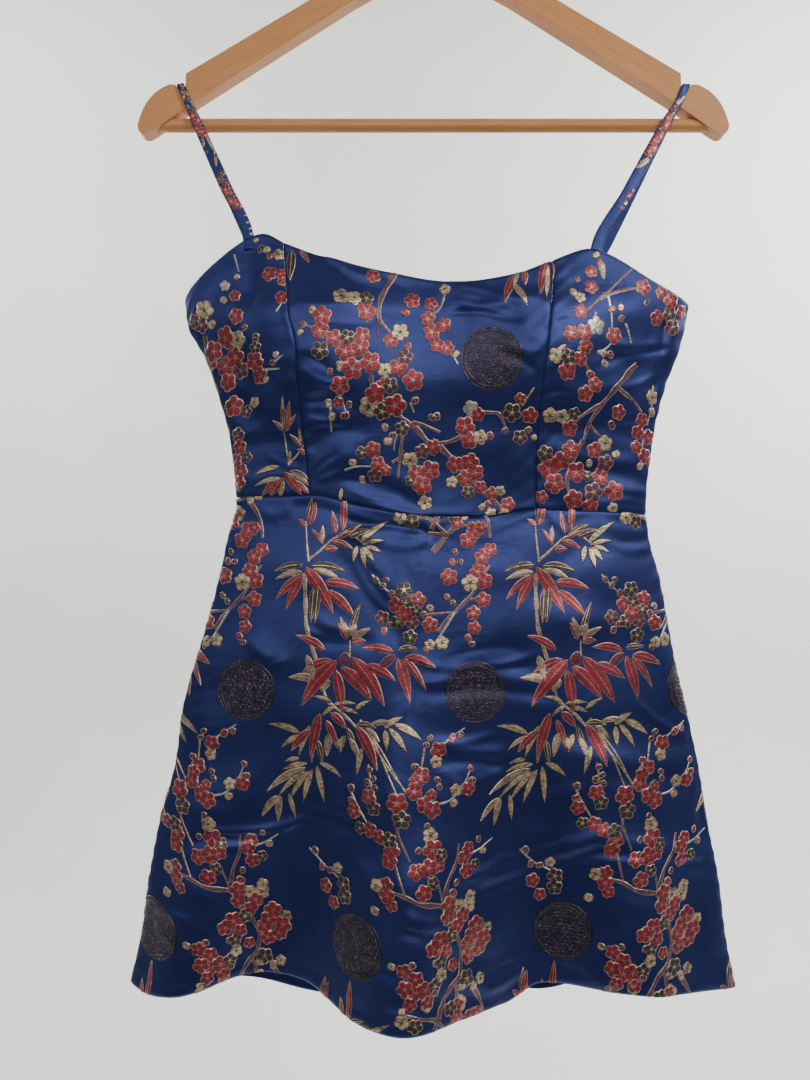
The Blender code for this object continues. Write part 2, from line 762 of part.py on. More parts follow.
def main():
    for obj in list(bpy.data.objects):
        bpy.data.objects.remove(obj)
    parts = bpy.data.collections.new("slip_dress")
    cutters = bpy.data.collections.new("cutters")
    bpy.context.scene.collection.children.link(parts)
    bpy.context.scene.collection.children.link(cutters)
    satin = colour("satin", (0.02, 0.06, 0.28), 0.4, 0.2)
    wood = colour("varnished wood", (0.55, 0.27, 0.12), 0.35, 0.0)
    steel = colour("steel", (0.6, 0.6, 0.62), 0.25, 1.0)
    zip_metal = colour("painted zip metal", (0.02, 0.04, 0.16), 0.35, 0.6)
    build_bodice(satin, parts)
    build_skirt(satin, parts)
    build_straps(satin, parts)
    build_hanger(wood, steel, parts, cutters)
    build_zip(zip_metal, parts, cutters)


main()
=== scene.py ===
# %% [markdown]
# # A satin slip dress on a wooden hanger
# The dress is sewn from a jacquard satin: a blue ground of long, smooth warp threads, with plum
# blossom and bamboo woven on it in red, gold and brown threads. It hangs nearly flat from a notched
# wooden hanger.
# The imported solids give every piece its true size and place. This lesson dresses them: each cloth
# piece gets a finer shell with its creases, and the woven motifs are laid on it thread-thin.

# %% Load the frame and note its size
import math
import random
from collections import namedtuple

import bpy
import numpy as np
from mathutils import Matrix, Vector


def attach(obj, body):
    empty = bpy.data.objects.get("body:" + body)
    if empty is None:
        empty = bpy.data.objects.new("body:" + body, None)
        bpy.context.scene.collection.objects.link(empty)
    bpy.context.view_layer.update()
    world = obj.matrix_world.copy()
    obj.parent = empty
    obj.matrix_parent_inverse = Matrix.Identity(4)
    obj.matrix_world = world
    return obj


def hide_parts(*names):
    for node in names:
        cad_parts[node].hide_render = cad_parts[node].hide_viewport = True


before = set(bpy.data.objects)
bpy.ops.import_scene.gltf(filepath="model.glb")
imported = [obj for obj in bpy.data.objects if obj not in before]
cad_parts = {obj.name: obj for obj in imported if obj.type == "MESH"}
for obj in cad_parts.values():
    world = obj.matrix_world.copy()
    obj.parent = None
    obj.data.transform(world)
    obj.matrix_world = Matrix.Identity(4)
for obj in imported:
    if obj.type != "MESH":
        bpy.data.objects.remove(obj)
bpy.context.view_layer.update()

MM = 0.001
random.seed(7)


def clear_selection():
    """Operators act on all that is selected, so each step starts with nothing selected."""
    if bpy.context.mode != "OBJECT":
        bpy.ops.object.mode_set(mode="OBJECT")
    bpy.ops.object.select_all(action="DESELECT")


# %% [markdown]
# ## The camera, first
# The photograph was taken from close by, about 65 cm from the cloth and level with the waist. A
# camera that near sees the hanger from below and the hem from above, so its distance matters as much
# as its direction. The lens follows from the distance, because the hanger's 438 mm have to fill
# nearly three quarters of the picture's width.

# %% Set the camera
lens_mm = 29.0
bpy.ops.object.camera_add(location=(-0.021, -0.65, -0.515), rotation=(math.pi / 2, 0, 0))
camera = bpy.context.object
camera.name = "camera"
camera.data.sensor_width = 36.0
camera.data.lens = lens_mm
bpy.context.scene.camera = camera
print("camera at", tuple(round(c, 3) for c in camera.location), "lens", lens_mm)

# %% [markdown]
# ## The dress's form
# A pattern cutter thinks of a dress as girths at heights. These rows hold the same thing: at each
# height, how far the dress reaches left and right, and how far its front and back stand out from the
# side seams. A curve through the rows gives the form at every height between them, with no bumps of
# its own. The folds and the fullness of the bust are then added as soft hills and hollows.

# %% The rows, in millimetres: height, left, right, front, back
SECTIONS = (
    (-850.0, 226.3, 225.2, 24.0, 24.0),
    (-808.0, 217.0, 217.2, 25.0, 24.0),
    (-765.0, 210.9, 211.8, 26.0, 23.0),
    (-727.0, 204.0, 204.3, 27.0, 22.5),
    (-680.0, 191.5, 196.6, 28.0, 22.0),
    (-640.0, 186.0, 187.8, 28.0, 21.0),
    (-615.0, 179.5, 181.6, 28.0, 20.4),
    (-600.0, 174.8, 178.6, 28.0, 20.0),
    (-540.0, 158.2, 167.2, 25.0, 17.0),
    (-514.0, 152.8, 160.6, 22.3, 15.3),
    (-489.0, 146.2, 158.2, 20.0, 14.0),
    (-440.0, 150.8, 163.2, 26.0, 15.0),
    (-400.0, 161.5, 172.6, 34.0, 18.0),
    (-380.0, 168.6, 180.4, 36.0, 19.2),
    (-355.0, 182.2, 187.3, 37.0, 20.0),
    (-332.0, 184.0, 190.5, 31.0, 18.0),
    (-288.0, 180.0, 189.0, 22.0, 14.0),
)
LEFT, RIGHT, FRONT, BACK = 1, 2, 3, 4
# Edges across the dress: share of the half width, height
FRONT_TOP = (
    (-1.0, -336.5), (-0.96, -326.5), (-0.87, -311.0), (-0.745, -294.5), (-0.69, -292.5),
    (-0.585, -301.2), (-0.385, -314.0), (-0.17, -323.5), (0.1, -330.5), (0.31, -325.0),
    (0.445, -315.0), (0.6, -304.5), (0.655, -307.2), (0.84, -326.5), (1.0, -340.0),
)
BACK_TOP = ((-1.0, -336.5), (-0.62, -331.5), (0.0, -338.0), (0.62, -332.0), (1.0, -340.0))
FRONT_WAIST = (
    (-1.0, -483.5), (-0.62, -482.0), (-0.38, -489.0), (-0.1, -497.0),
    (0.15, -498.5), (0.48, -492.5), (0.75, -493.5), (1.0, -496.0),
)
BACK_WAIST = ((-1.0, -483.5), (-0.4, -488.0), (0.3, -494.0), (1.0, -496.0))
FRONT_HEM = (
    (-1.0, -843.5), (-0.93, -846.0), (-0.84, -843.0), (-0.6, -834.5), (-0.42, -836.0),
    (-0.25, -850.0), (-0.1, -853.0), (0.06, -851.0), (0.22, -851.0), (0.36, -840.5),
    (0.6, -837.8), (0.85, -844.0), (1.0, -847.5),
)
BACK_HEM = (
    (-1.0, -843.5), (-0.75, -853.0), (-0.45, -862.0), (-0.1, -861.0),
    (0.3, -858.0), (0.7, -855.0), (1.0, -847.5),
)
# The princess seams: height, left seam's share, right seam's share
PRINCESS = (
    (-500.0, -0.613, 0.475), (-470.0, -0.622, 0.462), (-440.0, -0.627, 0.452), (-400.0, -0.603, 0.44),
    (-360.0, -0.566, 0.433), (-330.0, -0.577, 0.44), (-300.0, -0.601, 0.445),
)
# Folds: middle, spread, how far it stands out at the hem, where it starts, lean
FRONT_FOLDS = (
    (-0.1, 0.21, 35.0, -560.0, 0.03), (-0.53, 0.17, -17.0, -600.0, 0.06),
    (0.35, 0.15, -16.0, -610.0, -0.04), (-0.85, 0.13, 17.0, -640.0, 0.05),
    (0.68, 0.16, 15.0, -620.0, 0.0),
)
BACK_FOLDS = (
    (-0.62, 0.15, 14.0, -610.0, 0.04), (-0.3, 0.13, -8.0, -640.0, 0.02),
    (0.04, 0.16, 17.0, -590.0, 0.0), (0.36, 0.12, -9.0, -650.0, -0.02),
    (0.64, 0.16, 13.0, -600.0, -0.03),
)
# Fullness of the bodice: share, height, wide, tall, stands out
BUMPS = (
    (-0.52, -374.0, 0.26, 44.0, 9.0), (0.46, -378.0, 0.26, 44.0, 9.0),
    (-0.04, -352.0, 0.22, 36.0, -6.0), (-0.88, -376.0, 0.08, 50.0, -4.0),
    (0.86, -372.0, 0.09, 46.0, -5.0),
)
SEAM_GAP, WALL = 0.3, 1.2
# Powers that round a section off, and that hold its folds in, towards the side seams
WIDTH_POWER, DEPTH_POWER, FOLD_POWER = 2.3, 0.55, 8
print(len(SECTIONS), "girths,", len(FRONT_FOLDS) + len(BACK_FOLDS), "folds")


# %% Read a table on a smooth curve, and place a point on the dress
def on_curve(rows, column, at):
    """A table's column at many places, on a curve through its rows that never overshoots them."""
    rows = sorted(rows)
    x = np.array([row[0] for row in rows])
    y = np.array([row[column] for row in rows])
    gap, rise = np.diff(x), np.diff(y) / np.diff(x)
    slope = np.zeros(len(x))
    slope[0], slope[-1] = rise[0], rise[-1]
    together = rise[:-1] * rise[1:]
    safe = np.where(together > 0, rise[:-1] + rise[1:], 1.0)
    slope[1:-1] = np.where(together > 0, 2 * together / safe, 0.0)
    at = np.clip(at, x[0], x[-1])
    i = np.clip(np.searchsorted(x, at, side="right") - 1, 0, len(gap) - 1)
    t = (at - x[i]) / gap[i]
    start = y[i] * (1 + 2 * t) * (1 - t) ** 2 + slope[i] * gap[i] * t * (1 - t) ** 2
    end = y[i + 1] * t * t * (3 - 2 * t) + slope[i + 1] * gap[i] * t * t * (t - 1)
    return start + end


def eased(share):
    share = np.clip(share, 0.0, 1.0)
    return share * share * (3 - 2 * share)


def reach(share, height):
    """Half width of the dress on that side of the middle line."""
    left, right = on_curve(SECTIONS, LEFT, height), on_curve(SECTIONS, RIGHT, height)
    return np.where(share > 0, right, left)


def folds_at(folds, share, height):
    total = np.zeros_like(share)
    for middle, spread, stands_out, starts, lean in folds:
        down = (starts - height) / (starts - SECTIONS[0][0])
        line = middle + lean * (1 - np.clip(down, 0, 1))
        total += stands_out * np.exp(-(((share - line) / spread) ** 2)) * eased(down)
    return total


def bumps_at(share, height):
    total = np.zeros_like(share)
    for middle, level, wide, tall, stands_out in BUMPS:
        far = ((share - middle) / wide) ** 2 + ((height - level) / tall) ** 2
        total += stands_out * np.exp(-far)
    return total


def on_dress(side, share, height):
    """Points of the cloth's inner face, as rows of x, y and z in millimetres."""
    roundness = np.clip(1 - np.abs(share) ** WIDTH_POWER, 0, None) ** DEPTH_POWER
    depth = on_curve(SECTIONS, FRONT if side == "front" else BACK, height) * roundness
    open_share = 1 - np.abs(share) ** FOLD_POWER
    if side == "front":
        extra = folds_at(FRONT_FOLDS, share, height) + bumps_at(share, height)
        y = -SEAM_GAP / 2 - depth - open_share * extra
    else:
        y = SEAM_GAP / 2 + depth + open_share * folds_at(BACK_FOLDS, share, height)
    return np.stack([share * reach(share, height), y, height], -1)


middle_of_bust = on_dress("front", np.array([0.45]), np.array([-375.0]))
print("fullest point of the right cup:", middle_of_bust.round(1))

# %% [markdown]
# ## Creases
# Satin shows every dent, because its long threads shine along the slope of the cloth. The largest
# creases are placed one by one where the dress has them, each as a line with a width and a depth. They
# are measured on the front view, squared up as a weaver's chart is: 810 squares wide and 1080 high,
# counted from its top left corner. A few slow waves in seeded directions keep the cloth between them
# from looking ironed.

# %% The creases: x, y at each end and width in squares, and depth in millimetres
CHART_WIDTH, CHART_HEIGHT = 810, 1080
EYE = np.array(camera.location) / MM
SQUARES_PER_SLOPE = CHART_HEIGHT * lens_mm / camera.data.sensor_width
FRONT_CREASES = (
    (305, 402, 352, 396, 7, -1.5), (303, 424, 348, 412, 8, 1.4), (306, 446, 362, 428, 9, -1.6),
    (310, 466, 352, 452, 8, 1.1), (308, 382, 340, 384, 6, 1.0), (304, 360, 330, 366, 7, -0.8),
    (345, 478, 425, 512, 9, -1.8), (350, 458, 430, 488, 12, 1.3), (372, 505, 440, 514, 5, 0.9),
    (452, 285, 505, 305, 7, 1.5), (470, 300, 520, 318, 6, -1.7), (500, 292, 545, 300, 8, 1.0),
    (440, 300, 470, 322, 9, -1.0), (520, 322, 548, 345, 8, 0.8), (345, 300, 372, 352, 16, 1.2),
    (666, 325, 662, 352, 6, -2.3), (664, 350, 652, 392, 5, -2.2), (676, 322, 660, 390, 5, 1.5),
    (655, 392, 640, 440, 8, -1.1), (560, 392, 622, 384, 9, 1.1), (548, 432, 640, 436, 9, -1.2),
    (552, 448, 638, 462, 8, 1.3), (545, 470, 645, 482, 9, -1.3), (556, 492, 640, 494, 8, 1.0),
    (590, 350, 640, 372, 10, -1.0), (600, 300, 618, 350, 12, -1.2),
    (247, 244, 250, 300, 11, -2.6), (250, 300, 262, 390, 13, -2.0), (262, 300, 276, 420, 12, 1.5),
    (230, 268, 200, 300, 9, 1.0), (205, 350, 240, 392, 8, 1.2), (212, 378, 250, 410, 7, -1.2),
    (222, 410, 262, 438, 8, 1.0), (232, 450, 300, 442, 9, -1.0), (236, 478, 290, 474, 7, 0.9),
    (352, 522, 440, 538, 6, -1.9), (348, 532, 428, 546, 6, 1.7), (360, 546, 442, 552, 7, -1.2),
    (300, 506, 360, 524, 7, -1.1), (262, 516, 292, 508, 8, 1.1), (246, 510, 240, 560, 9, -1.0),
    (340, 556, 392, 628, 15, -2.2), (362, 552, 415, 610, 12, 1.7), (396, 625, 408, 700, 13, -1.4),
    (318, 620, 356, 632, 7, 1.6), (322, 640, 372, 644, 8, -1.2), (256, 640, 292, 668, 12, 1.3),
    (420, 682, 462, 676, 6, 1.3), (430, 694, 560, 700, 7, -1.2), (500, 680, 570, 672, 8, 0.9),
    (438, 742, 505, 752, 8, 1.7), (442, 762, 512, 768, 7, -1.4), (560, 748, 690, 760, 12, 1.3),
    (600, 775, 688, 788, 11, -1.1), (540, 610, 640, 622, 13, 1.0), (560, 560, 640, 540, 11, -1.1),
    (470, 560, 540, 575, 13, 1.0), (500, 640, 540, 690, 14, -1.2), (648, 600, 672, 680, 9, 1.1),
    (196, 842, 262, 838, 6, -1.9), (210, 832, 302, 818, 5, 2.2), (170, 800, 240, 812, 11, 1.1),
    (180, 876, 222, 905, 9, 1.3), (150, 860, 180, 930, 12, 1.3), (300, 812, 352, 828, 9, -1.2),
    (470, 878, 602, 832, 9, 2.3), (480, 894, 610, 850, 8, -2.0), (598, 836, 705, 852, 10, 1.5),
    (610, 852, 700, 870, 8, -1.3), (520, 800, 580, 790, 10, 1.1), (405, 915, 440, 925, 8, 1.9),
    (402, 932, 436, 940, 7, -1.5), (455, 975, 500, 985, 8, 1.5), (360, 968, 415, 985, 8, -1.6),
    (380, 1012, 440, 1015, 6, 1.3), (448, 958, 498, 962, 8, -1.4), (620, 900, 700, 915, 11, 1.1),
    (560, 950, 600, 968, 8, 1.1), (250, 955, 262, 972, 6, -1.0), (590, 975, 640, 980, 6, 0.9),
    (262, 700, 268, 790, 16, -1.3), (215, 650, 205, 740, 11, 1.2), (690, 730, 700, 830, 6, -1.4),
    (414, 540, 420, 960, 13, 2.4), (402, 645, 407, 730, 4, -1.2), (404, 560, 405, 640, 5, -0.6),
    (308, 252, 356, 286, 4, -1.0), (322, 250, 372, 280, 4, 0.9), (348, 262, 402, 288, 4, -0.8),
    (300, 302, 350, 304, 4, 0.8), (318, 318, 372, 324, 6, 0.8), (303, 354, 332, 372, 3, -0.5),
    (303, 370, 346, 386, 3, 0.6), (303, 386, 350, 396, 3, -0.6), (303, 402, 356, 409, 4, -0.9),
    (304, 414, 350, 424, 3, 0.6), (305, 432, 345, 430, 3, -0.5), (312, 474, 338, 454, 3, -0.7),
    (320, 480, 352, 462, 3, 0.7), (342, 480, 402, 490, 4, -0.7), (352, 492, 400, 500, 3, 0.6),
    (452, 313, 508, 319, 3, -1.2), (455, 302, 512, 303, 4, 0.9), (468, 286, 540, 301, 4, 0.9),
    (462, 292, 520, 309, 3, -0.7), (520, 300, 548, 284, 4, 0.8), (498, 352, 538, 372, 4, -0.9),
    (504, 340, 540, 352, 5, 0.7), (548, 326, 566, 320, 3, -0.7), (600, 366, 662, 350, 4, -0.9),
    (610, 342, 658, 345, 5, 0.7), (618, 388, 656, 375, 4, 0.6), (543, 393, 572, 392, 3, -0.8),
    (596, 497, 650, 500, 4, -0.9), (560, 402, 600, 408, 4, 0.5), (596, 428, 640, 420, 4, -0.6),
    (262, 482, 292, 478, 3, -0.5), (236, 440, 262, 424, 4, 0.6), (270, 456, 300, 468, 3, 0.5),
    (345, 512, 418, 522, 3, 0.8), (350, 527, 440, 536, 3, -0.9), (404, 537, 442, 521, 3, 0.7),
    (425, 548, 452, 524, 3, -0.6), (468, 522, 546, 510, 7, 0.9), (546, 510, 566, 532, 4, 0.8),
    (600, 520, 652, 530, 5, -0.8), (596, 540, 655, 549, 5, 0.7), (352, 560, 404, 626, 4, 0.9),
    (366, 566, 408, 618, 3, -0.6), (306, 630, 350, 639, 4, 0.8), (250, 641, 271, 659, 5, 1.0),
    (262, 668, 286, 660, 4, 0.7), (414, 654, 440, 668, 4, 0.8), (448, 668, 534, 655, 4, 1.0),
    (452, 678, 524, 668, 3, -0.8), (446, 658, 520, 648, 4, -0.6), (636, 702, 686, 736, 4, 1.0),
    (430, 742, 492, 734, 4, 0.9), (438, 768, 474, 792, 5, 0.7), (470, 782, 504, 768, 5, 0.8),
    (512, 820, 548, 832, 4, 0.6), (452, 882, 502, 856, 4, 0.9), (500, 856, 570, 838, 3, 0.9),
    (596, 858, 706, 853, 3, 0.8), (404, 924, 434, 930, 3, 0.9), (486, 988, 518, 970, 4, 1.0),
    (484, 976, 516, 962, 3, -0.7), (434, 1000, 500, 1004, 4, -0.8), (160, 905, 192, 921, 4, 0.8),
    (158, 920, 176, 948, 4, 0.7), (332, 800, 356, 816, 5, 0.7), (362, 862, 384, 900, 6, 0.8),
    (205, 842, 240, 846, 3, 0.8), (240, 846, 300, 820, 3, 0.8), (180, 780, 232, 792, 6, 0.6),
)
BACK_CREASES = (
    (300, 380, 372, 392, 9, -1.4), (306, 402, 380, 412, 9, 1.2), (500, 372, 572, 360, 9, -1.3),
    (505, 392, 590, 384, 9, 1.2), (438, 400, 470, 470, 9, -1.2), (402, 390, 428, 460, 9, 1.0),
    (250, 340, 300, 420, 12, 1.3), (620, 330, 582, 412, 12, 1.3), (330, 470, 420, 486, 9, -1.3),
    (450, 486, 560, 478, 9, -1.3), (260, 448, 320, 452, 9, 1.1), (560, 440, 640, 452, 10, 1.2),
    (300, 512, 402, 528, 8, -1.5), (470, 532, 590, 516, 8, -1.5), (310, 530, 392, 542, 8, 1.3),
    (476, 546, 580, 534, 8, 1.2), (300, 600, 380, 660, 15, -1.6), (560, 590, 500, 660, 15, 1.6),
    (232, 610, 290, 640, 12, 1.2), (600, 640, 660, 612, 11, -1.2), (340, 720, 430, 742, 10, 1.4),
    (452, 760, 560, 744, 10, -1.3), (200, 760, 280, 784, 11, 1.4), (580, 800, 690, 812, 11, 1.5),
    (240, 860, 330, 846, 9, -1.6), (352, 880, 450, 896, 9, 1.6), (500, 900, 610, 872, 9, -1.6),
    (612, 930, 690, 912, 9, 1.2), (190, 930, 260, 942, 9, 1.2), (420, 960, 500, 948, 9, -1.3),
)
CREASE_BOW, CREASE_FADE = 0.06, 2.6
# The slow waves: direction, length in squares, and where each starts
WAVES = [
    (
        random.uniform(-0.5, 0.5) + random.choice((0.0, 0.0, 1.5)),
        random.uniform(38, 120),
        random.uniform(0, 6.3),
    )
    for _ in range(18)
]
WAVE_HEIGHT = 0.0019  # millimetres for every square of a wave's length
FULL_TURN = 6.28


def to_squares(points):
    """Where points in millimetres are on the chart. The back is charted as if seen through the front."""
    far = -np.abs(points[..., 1]) - EYE[1]
    x = CHART_WIDTH / 2 + SQUARES_PER_SLOPE * (points[..., 0] - EYE[0]) / far
    y = CHART_HEIGHT / 2 + SQUARES_PER_SLOPE * (EYE[2] - points[..., 2]) / far
    return x, y


def creases_at(table, x, y):
    """How far the creases push the cloth out, at places given in squares."""
    total = np.zeros_like(x)
    for x0, y0, x1, y1, width, depth in table:
        length = math.hypot(x1 - x0, y1 - y0)
        ux, uy = (x1 - x0) / length, (y1 - y0) / length
        along = (x - x0) * ux + (y - y0) * uy
        t = along / length
        bow = CREASE_BOW * length * np.sin(np.clip(t, 0, 1) * math.pi)
        aside = (y - y0) * ux - (x - x0) * uy - bow * (1 if depth > 0 else -1)
        ends = eased(t * CREASE_FADE + 0.5) * eased((1 - t) * CREASE_FADE + 0.5)
        total += depth * np.exp(-((aside / width) ** 2)) * ends
    return total


def waves_at(x, y):
    total = np.zeros_like(x)
    for turn, length, start in WAVES:
        total += length * np.sin((x * math.sin(turn) + y * math.cos(turn)) / length * FULL_TURN + start)
    return total * WAVE_HEIGHT


print(len(FRONT_CREASES) + len(BACK_CREASES), "creases and", len(WAVES), "slow waves")

# %% [markdown]
# ## Cutting the panels
# A slip dress like this has eight panels: a centre front, two side fronts, two half backs, and a
# skirt with one front and two half backs. Each could be simulated as cloth, but a simulation would
# lose the seams' exact places. Here each panel is a flat grid that is laid on the form between its
# own seams, so the panels meet as sewn ones do. Near a seam the cloth rolls in, and at the hem it is
# turned up twice, which makes a thicker band.

# %% Edges and seams of the panels
SEWN_GAP = 0.04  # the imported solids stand 0.3 mm apart, and sewn cloth touches


def side_seam(sign):
    return lambda height: np.full_like(height, float(sign))


def beside(seam, toward):
    """A seam's shares, moved by half a sewn gap to one side."""
    return lambda height: seam(height) + toward * SEWN_GAP / 2 / reach(seam(height), height)


def princess_seam(column):
    return lambda height: on_curve(PRINCESS, column, height)


def centre_back(height):
    return np.zeros_like(height)


LEFT_PRINCESS, RIGHT_PRINCESS = princess_seam(1), princess_seam(2)


def crowd_start(u):
    return 1 - np.sin((1 - u) * math.pi / 2) * 0.6 - (1 - u) * 0.4


def crowd_end(u):
    return np.sin(u * math.pi / 2) * 0.6 + u * 0.4


def crowd_both(u):
    s = 2 * u - 1
    return (0.3 * s + 0.7 * np.sin(s * math.pi / 2) + 1) / 2


Panel = namedtuple("Panel", "side left right top bottom cells_across cells_down crowd")
PANELS = {
    "centre_front": Panel(
        "front", beside(LEFT_PRINCESS, 1), beside(RIGHT_PRINCESS, -1),
        FRONT_TOP, FRONT_WAIST, 116, 112, lambda u: u,
    ),
    "side_front_left": Panel(
        "front", side_seam(-1), beside(LEFT_PRINCESS, -1),
        FRONT_TOP, FRONT_WAIST, 60, 112, crowd_start,
    ),
    "side_front_right": Panel(
        "front", beside(RIGHT_PRINCESS, 1), side_seam(1),
        FRONT_TOP, FRONT_WAIST, 72, 112, crowd_end,
    ),
    "back_left": Panel(
        "back", side_seam(-1), beside(centre_back, -1),
        BACK_TOP, BACK_WAIST, 74, 68, crowd_end,
    ),
    "back_right": Panel(
        "back", beside(centre_back, 1), side_seam(1),
        BACK_TOP, BACK_WAIST, 74, 68, crowd_start,
    ),
    "skirt_front": Panel(
        "front", side_seam(-1), side_seam(1),
        FRONT_WAIST, FRONT_HEM, 248, 186, crowd_both,
    ),
    "skirt_back_left": Panel(
        "back", side_seam(-1), beside(centre_back, -1),
        BACK_WAIST, BACK_HEM, 122, 176, crowd_end,
    ),
    "skirt_back_right": Panel(
        "back", beside(centre_back, 1), side_seam(1),
        BACK_WAIST, BACK_HEM, 122, 176, crowd_start,
    ),
}
print(len(PANELS), "panels")

# %% How far the cloth stands off the form near seams and hems
ROLL_WIDTH, ROLL_DEPTH = 1.5, 0.75
HEM_BAND, HEM_THICKER, HEM_STEP = 6.6, 0.45, 1.6
PUCKER_REACH, PUCKER_DEPTH, PUCKER_LENGTH, PUCKER_DRIFT = 11.0, 0.3, 2.1, 23.0
RIPPLE_UP, RIPPLE_SPREAD, RIPPLE_DEPTH, RIPPLE_LENGTH, RIPPLE_DRIFT = 9, 6, 0.3, 4.3, 17.0
EDGE_TURN = 0.5


def edge_shape(name, distances, around):
    """Rolls at the sewn edges, puckers beside them, and the hem's band. All in millimetres."""
    to_left, to_right, to_top, to_bottom = distances
    sewn = [to_left, to_right]
    skirt = name.startswith("skirt")
    sewn.append(to_top if skirt else to_bottom)
    out = np.zeros_like(to_left)
    for number, distance in enumerate(sewn):
        out -= ROLL_DEPTH * np.exp(-((distance / ROLL_WIDTH) ** 2))
        drift = 1.7 * np.sin(around / PUCKER_DRIFT + number)
        beat = np.sin(around / (PUCKER_LENGTH + 0.3 * number) + drift)
        out += PUCKER_DEPTH * beat * np.exp(-distance / PUCKER_REACH) * np.clip(distance, 0, 2) / 2
    free = to_bottom if skirt else to_top
    if skirt:
        out += HEM_THICKER * (1 - eased((free - HEM_BAND) / HEM_STEP))
        ripple = np.sin(around / RIPPLE_LENGTH + np.sin(around / RIPPLE_DRIFT))
        out += RIPPLE_DEPTH * ripple * np.exp(-((free - RIPPLE_UP) / RIPPLE_SPREAD) ** 2)
    out -= EDGE_TURN * np.exp(-(free**2))
    return out


# %% Lay a panel's points on the form
CREASES_FULL, CREASES_AT_SEAM = 9.0, 0.12  # creases are full this far from a seam
SIDE_SHARE = 0.999


def panel_rows(panel, fraction, v):
    """Shares and heights of a panel's points, from fractions across it and down it."""
    top, bottom = panel.top, panel.bottom
    height = top[0][1] + (bottom[0][1] - top[0][1]) * v
    for _ in range(4):
        left, right = panel.left(height), panel.right(height)
        share = left + (right - left) * fraction
        high, low = on_curve(top, 1, share), on_curve(bottom, 1, share)
        height = high + (low - high) * v
    return share, height


def measured(points, axis):
    """Distances along a grid's rows or columns, starting from 0."""
    steps = np.linalg.norm(np.diff(points, axis=axis), axis=-1)
    start = np.zeros_like(np.take(steps, [0], axis=axis))
    return np.concatenate([start, np.cumsum(steps, axis=axis)], axis=axis)


def normals_of(points):
    across, down = np.gradient(points, axis=1), np.gradient(points, axis=0)
    straight = np.cross(down, across)
    return straight / np.linalg.norm(straight, axis=-1, keepdims=True)


def lay_panel(name):
    """The panel's outer face: points, the directions straight out of them, and places on the cloth."""
    panel = PANELS[name]
    side = panel.side
    columns, rows = np.linspace(0, 1, panel.cells_across + 1), np.linspace(0, 1, panel.cells_down + 1)
    u, v = np.meshgrid(columns, rows)
    fraction = panel.crowd(u) if side == "front" else 1 - panel.crowd(u)
    share, height = panel_rows(panel, fraction, v)
    base = on_dress(side, share, height)
    out = normals_of(base)
    across, down = measured(base, 1), measured(base, 0)
    edges = (across, across[:, -1:] - across, down, down[-1:] - down)
    x, y = to_squares(base)
    creases = creases_at(FRONT_CREASES if side == "front" else BACK_CREASES, x, y)
    nearest = np.minimum(edges[0], edges[1])
    off = WALL + (creases + waves_at(x, y)) * eased(nearest / CREASES_FULL + CREASES_AT_SEAM)
    off = off + edge_shape(name, edges, across * 0.4 + down)
    points = base + out * off[..., None]
    for edge in (0, -1):
        if abs(share[0, edge]) > SIDE_SHARE:
            points[:, edge, 1] = SEWN_GAP / 2 if side == "back" else -SEWN_GAP / 2
    return points, normals_of(points), share, height


print("a panel's grid:", lay_panel("back_left")[0].shape)

# %% [markdown]
# ## Measuring along the cloth
# The woven pattern belongs to the cloth, not to the view. It repeats at even distances along the
# cloth, also where a fold turns away. So each place on the dress also gets a measure across the
# cloth, from the middle line round towards the side seam.

# %% Distances across the cloth from the middle line, at every height
RULED_HEIGHTS = np.linspace(-866.0, -284.0, 146)
RULED_SHARES = np.sin(np.linspace(-1, 1, 281) * math.pi / 2) * 0.7 + np.linspace(-1, 1, 281) * 0.3
RULED_ACROSS = np.linspace(-275.0, 275.0, 276)
BEYOND_SEAM = 200.0  # past a side seam, millimetres to one share
AIM_ROUNDS, AIM_START, AIM_EDGE = 24, -30.0, 0.995


def rule_cloth(side):
    """Across-measures for ruled shares, and shares for ruled across-measures, per height."""
    share, height = np.meshgrid(RULED_SHARES, RULED_HEIGHTS)
    across = measured(on_dress(side, share, height), 1)
    across -= across[:, [len(RULED_SHARES) // 2]]
    shares = np.array([np.interp(RULED_ACROSS, row, RULED_SHARES) for row in across])
    beyond = np.clip(RULED_ACROSS - across[:, -1:], 0, None) + np.clip(RULED_ACROSS - across[:, :1], None, 0)
    return across, shares + beyond / BEYOND_SEAM


RULED = {side: rule_cloth(side) for side in ("front", "back")}


def ruled_lookup(table, columns, at, height):
    """Reads a ruled table between its lines."""
    row = np.interp(height, RULED_HEIGHTS, np.arange(len(RULED_HEIGHTS)))
    column = np.interp(at, columns, np.arange(len(columns)))
    i = np.minimum(row.astype(int), len(RULED_HEIGHTS) - 2)
    j = np.minimum(column.astype(int), len(columns) - 2)
    r, c = row - i, column - j
    upper = table[i, j] * (1 - c) + table[i, j + 1] * c
    lower = table[i + 1, j] * (1 - c) + table[i + 1, j + 1] * c
    return upper * (1 - r) + lower * r


def across_cloth(side, share, height):
    return ruled_lookup(RULED[side][0], RULED_SHARES, share, height)


def share_at(side, across, height):
    return ruled_lookup(RULED[side][1], RULED_ACROSS, across, height)


def from_chart(x, y):
    """Squares of the chart, thrown from the camera onto the front, as across-measures and heights."""
    x, y = np.asarray(x, float), np.asarray(y, float)
    depth = np.full_like(x, AIM_START)
    for _ in range(AIM_ROUNDS):
        far = depth - EYE[1]
        across = EYE[0] + (x - CHART_WIDTH / 2) * far / SQUARES_PER_SLOPE
        height = EYE[2] - (y - CHART_HEIGHT / 2) * far / SQUARES_PER_SLOPE
        share = across / reach(across, height)
        share = np.clip(share, -AIM_EDGE, AIM_EDGE)
        depth = 0.6 * depth + 0.4 * (on_dress("front", share, height)[..., 1] - WALL)
    return across_cloth("front", share, height), height


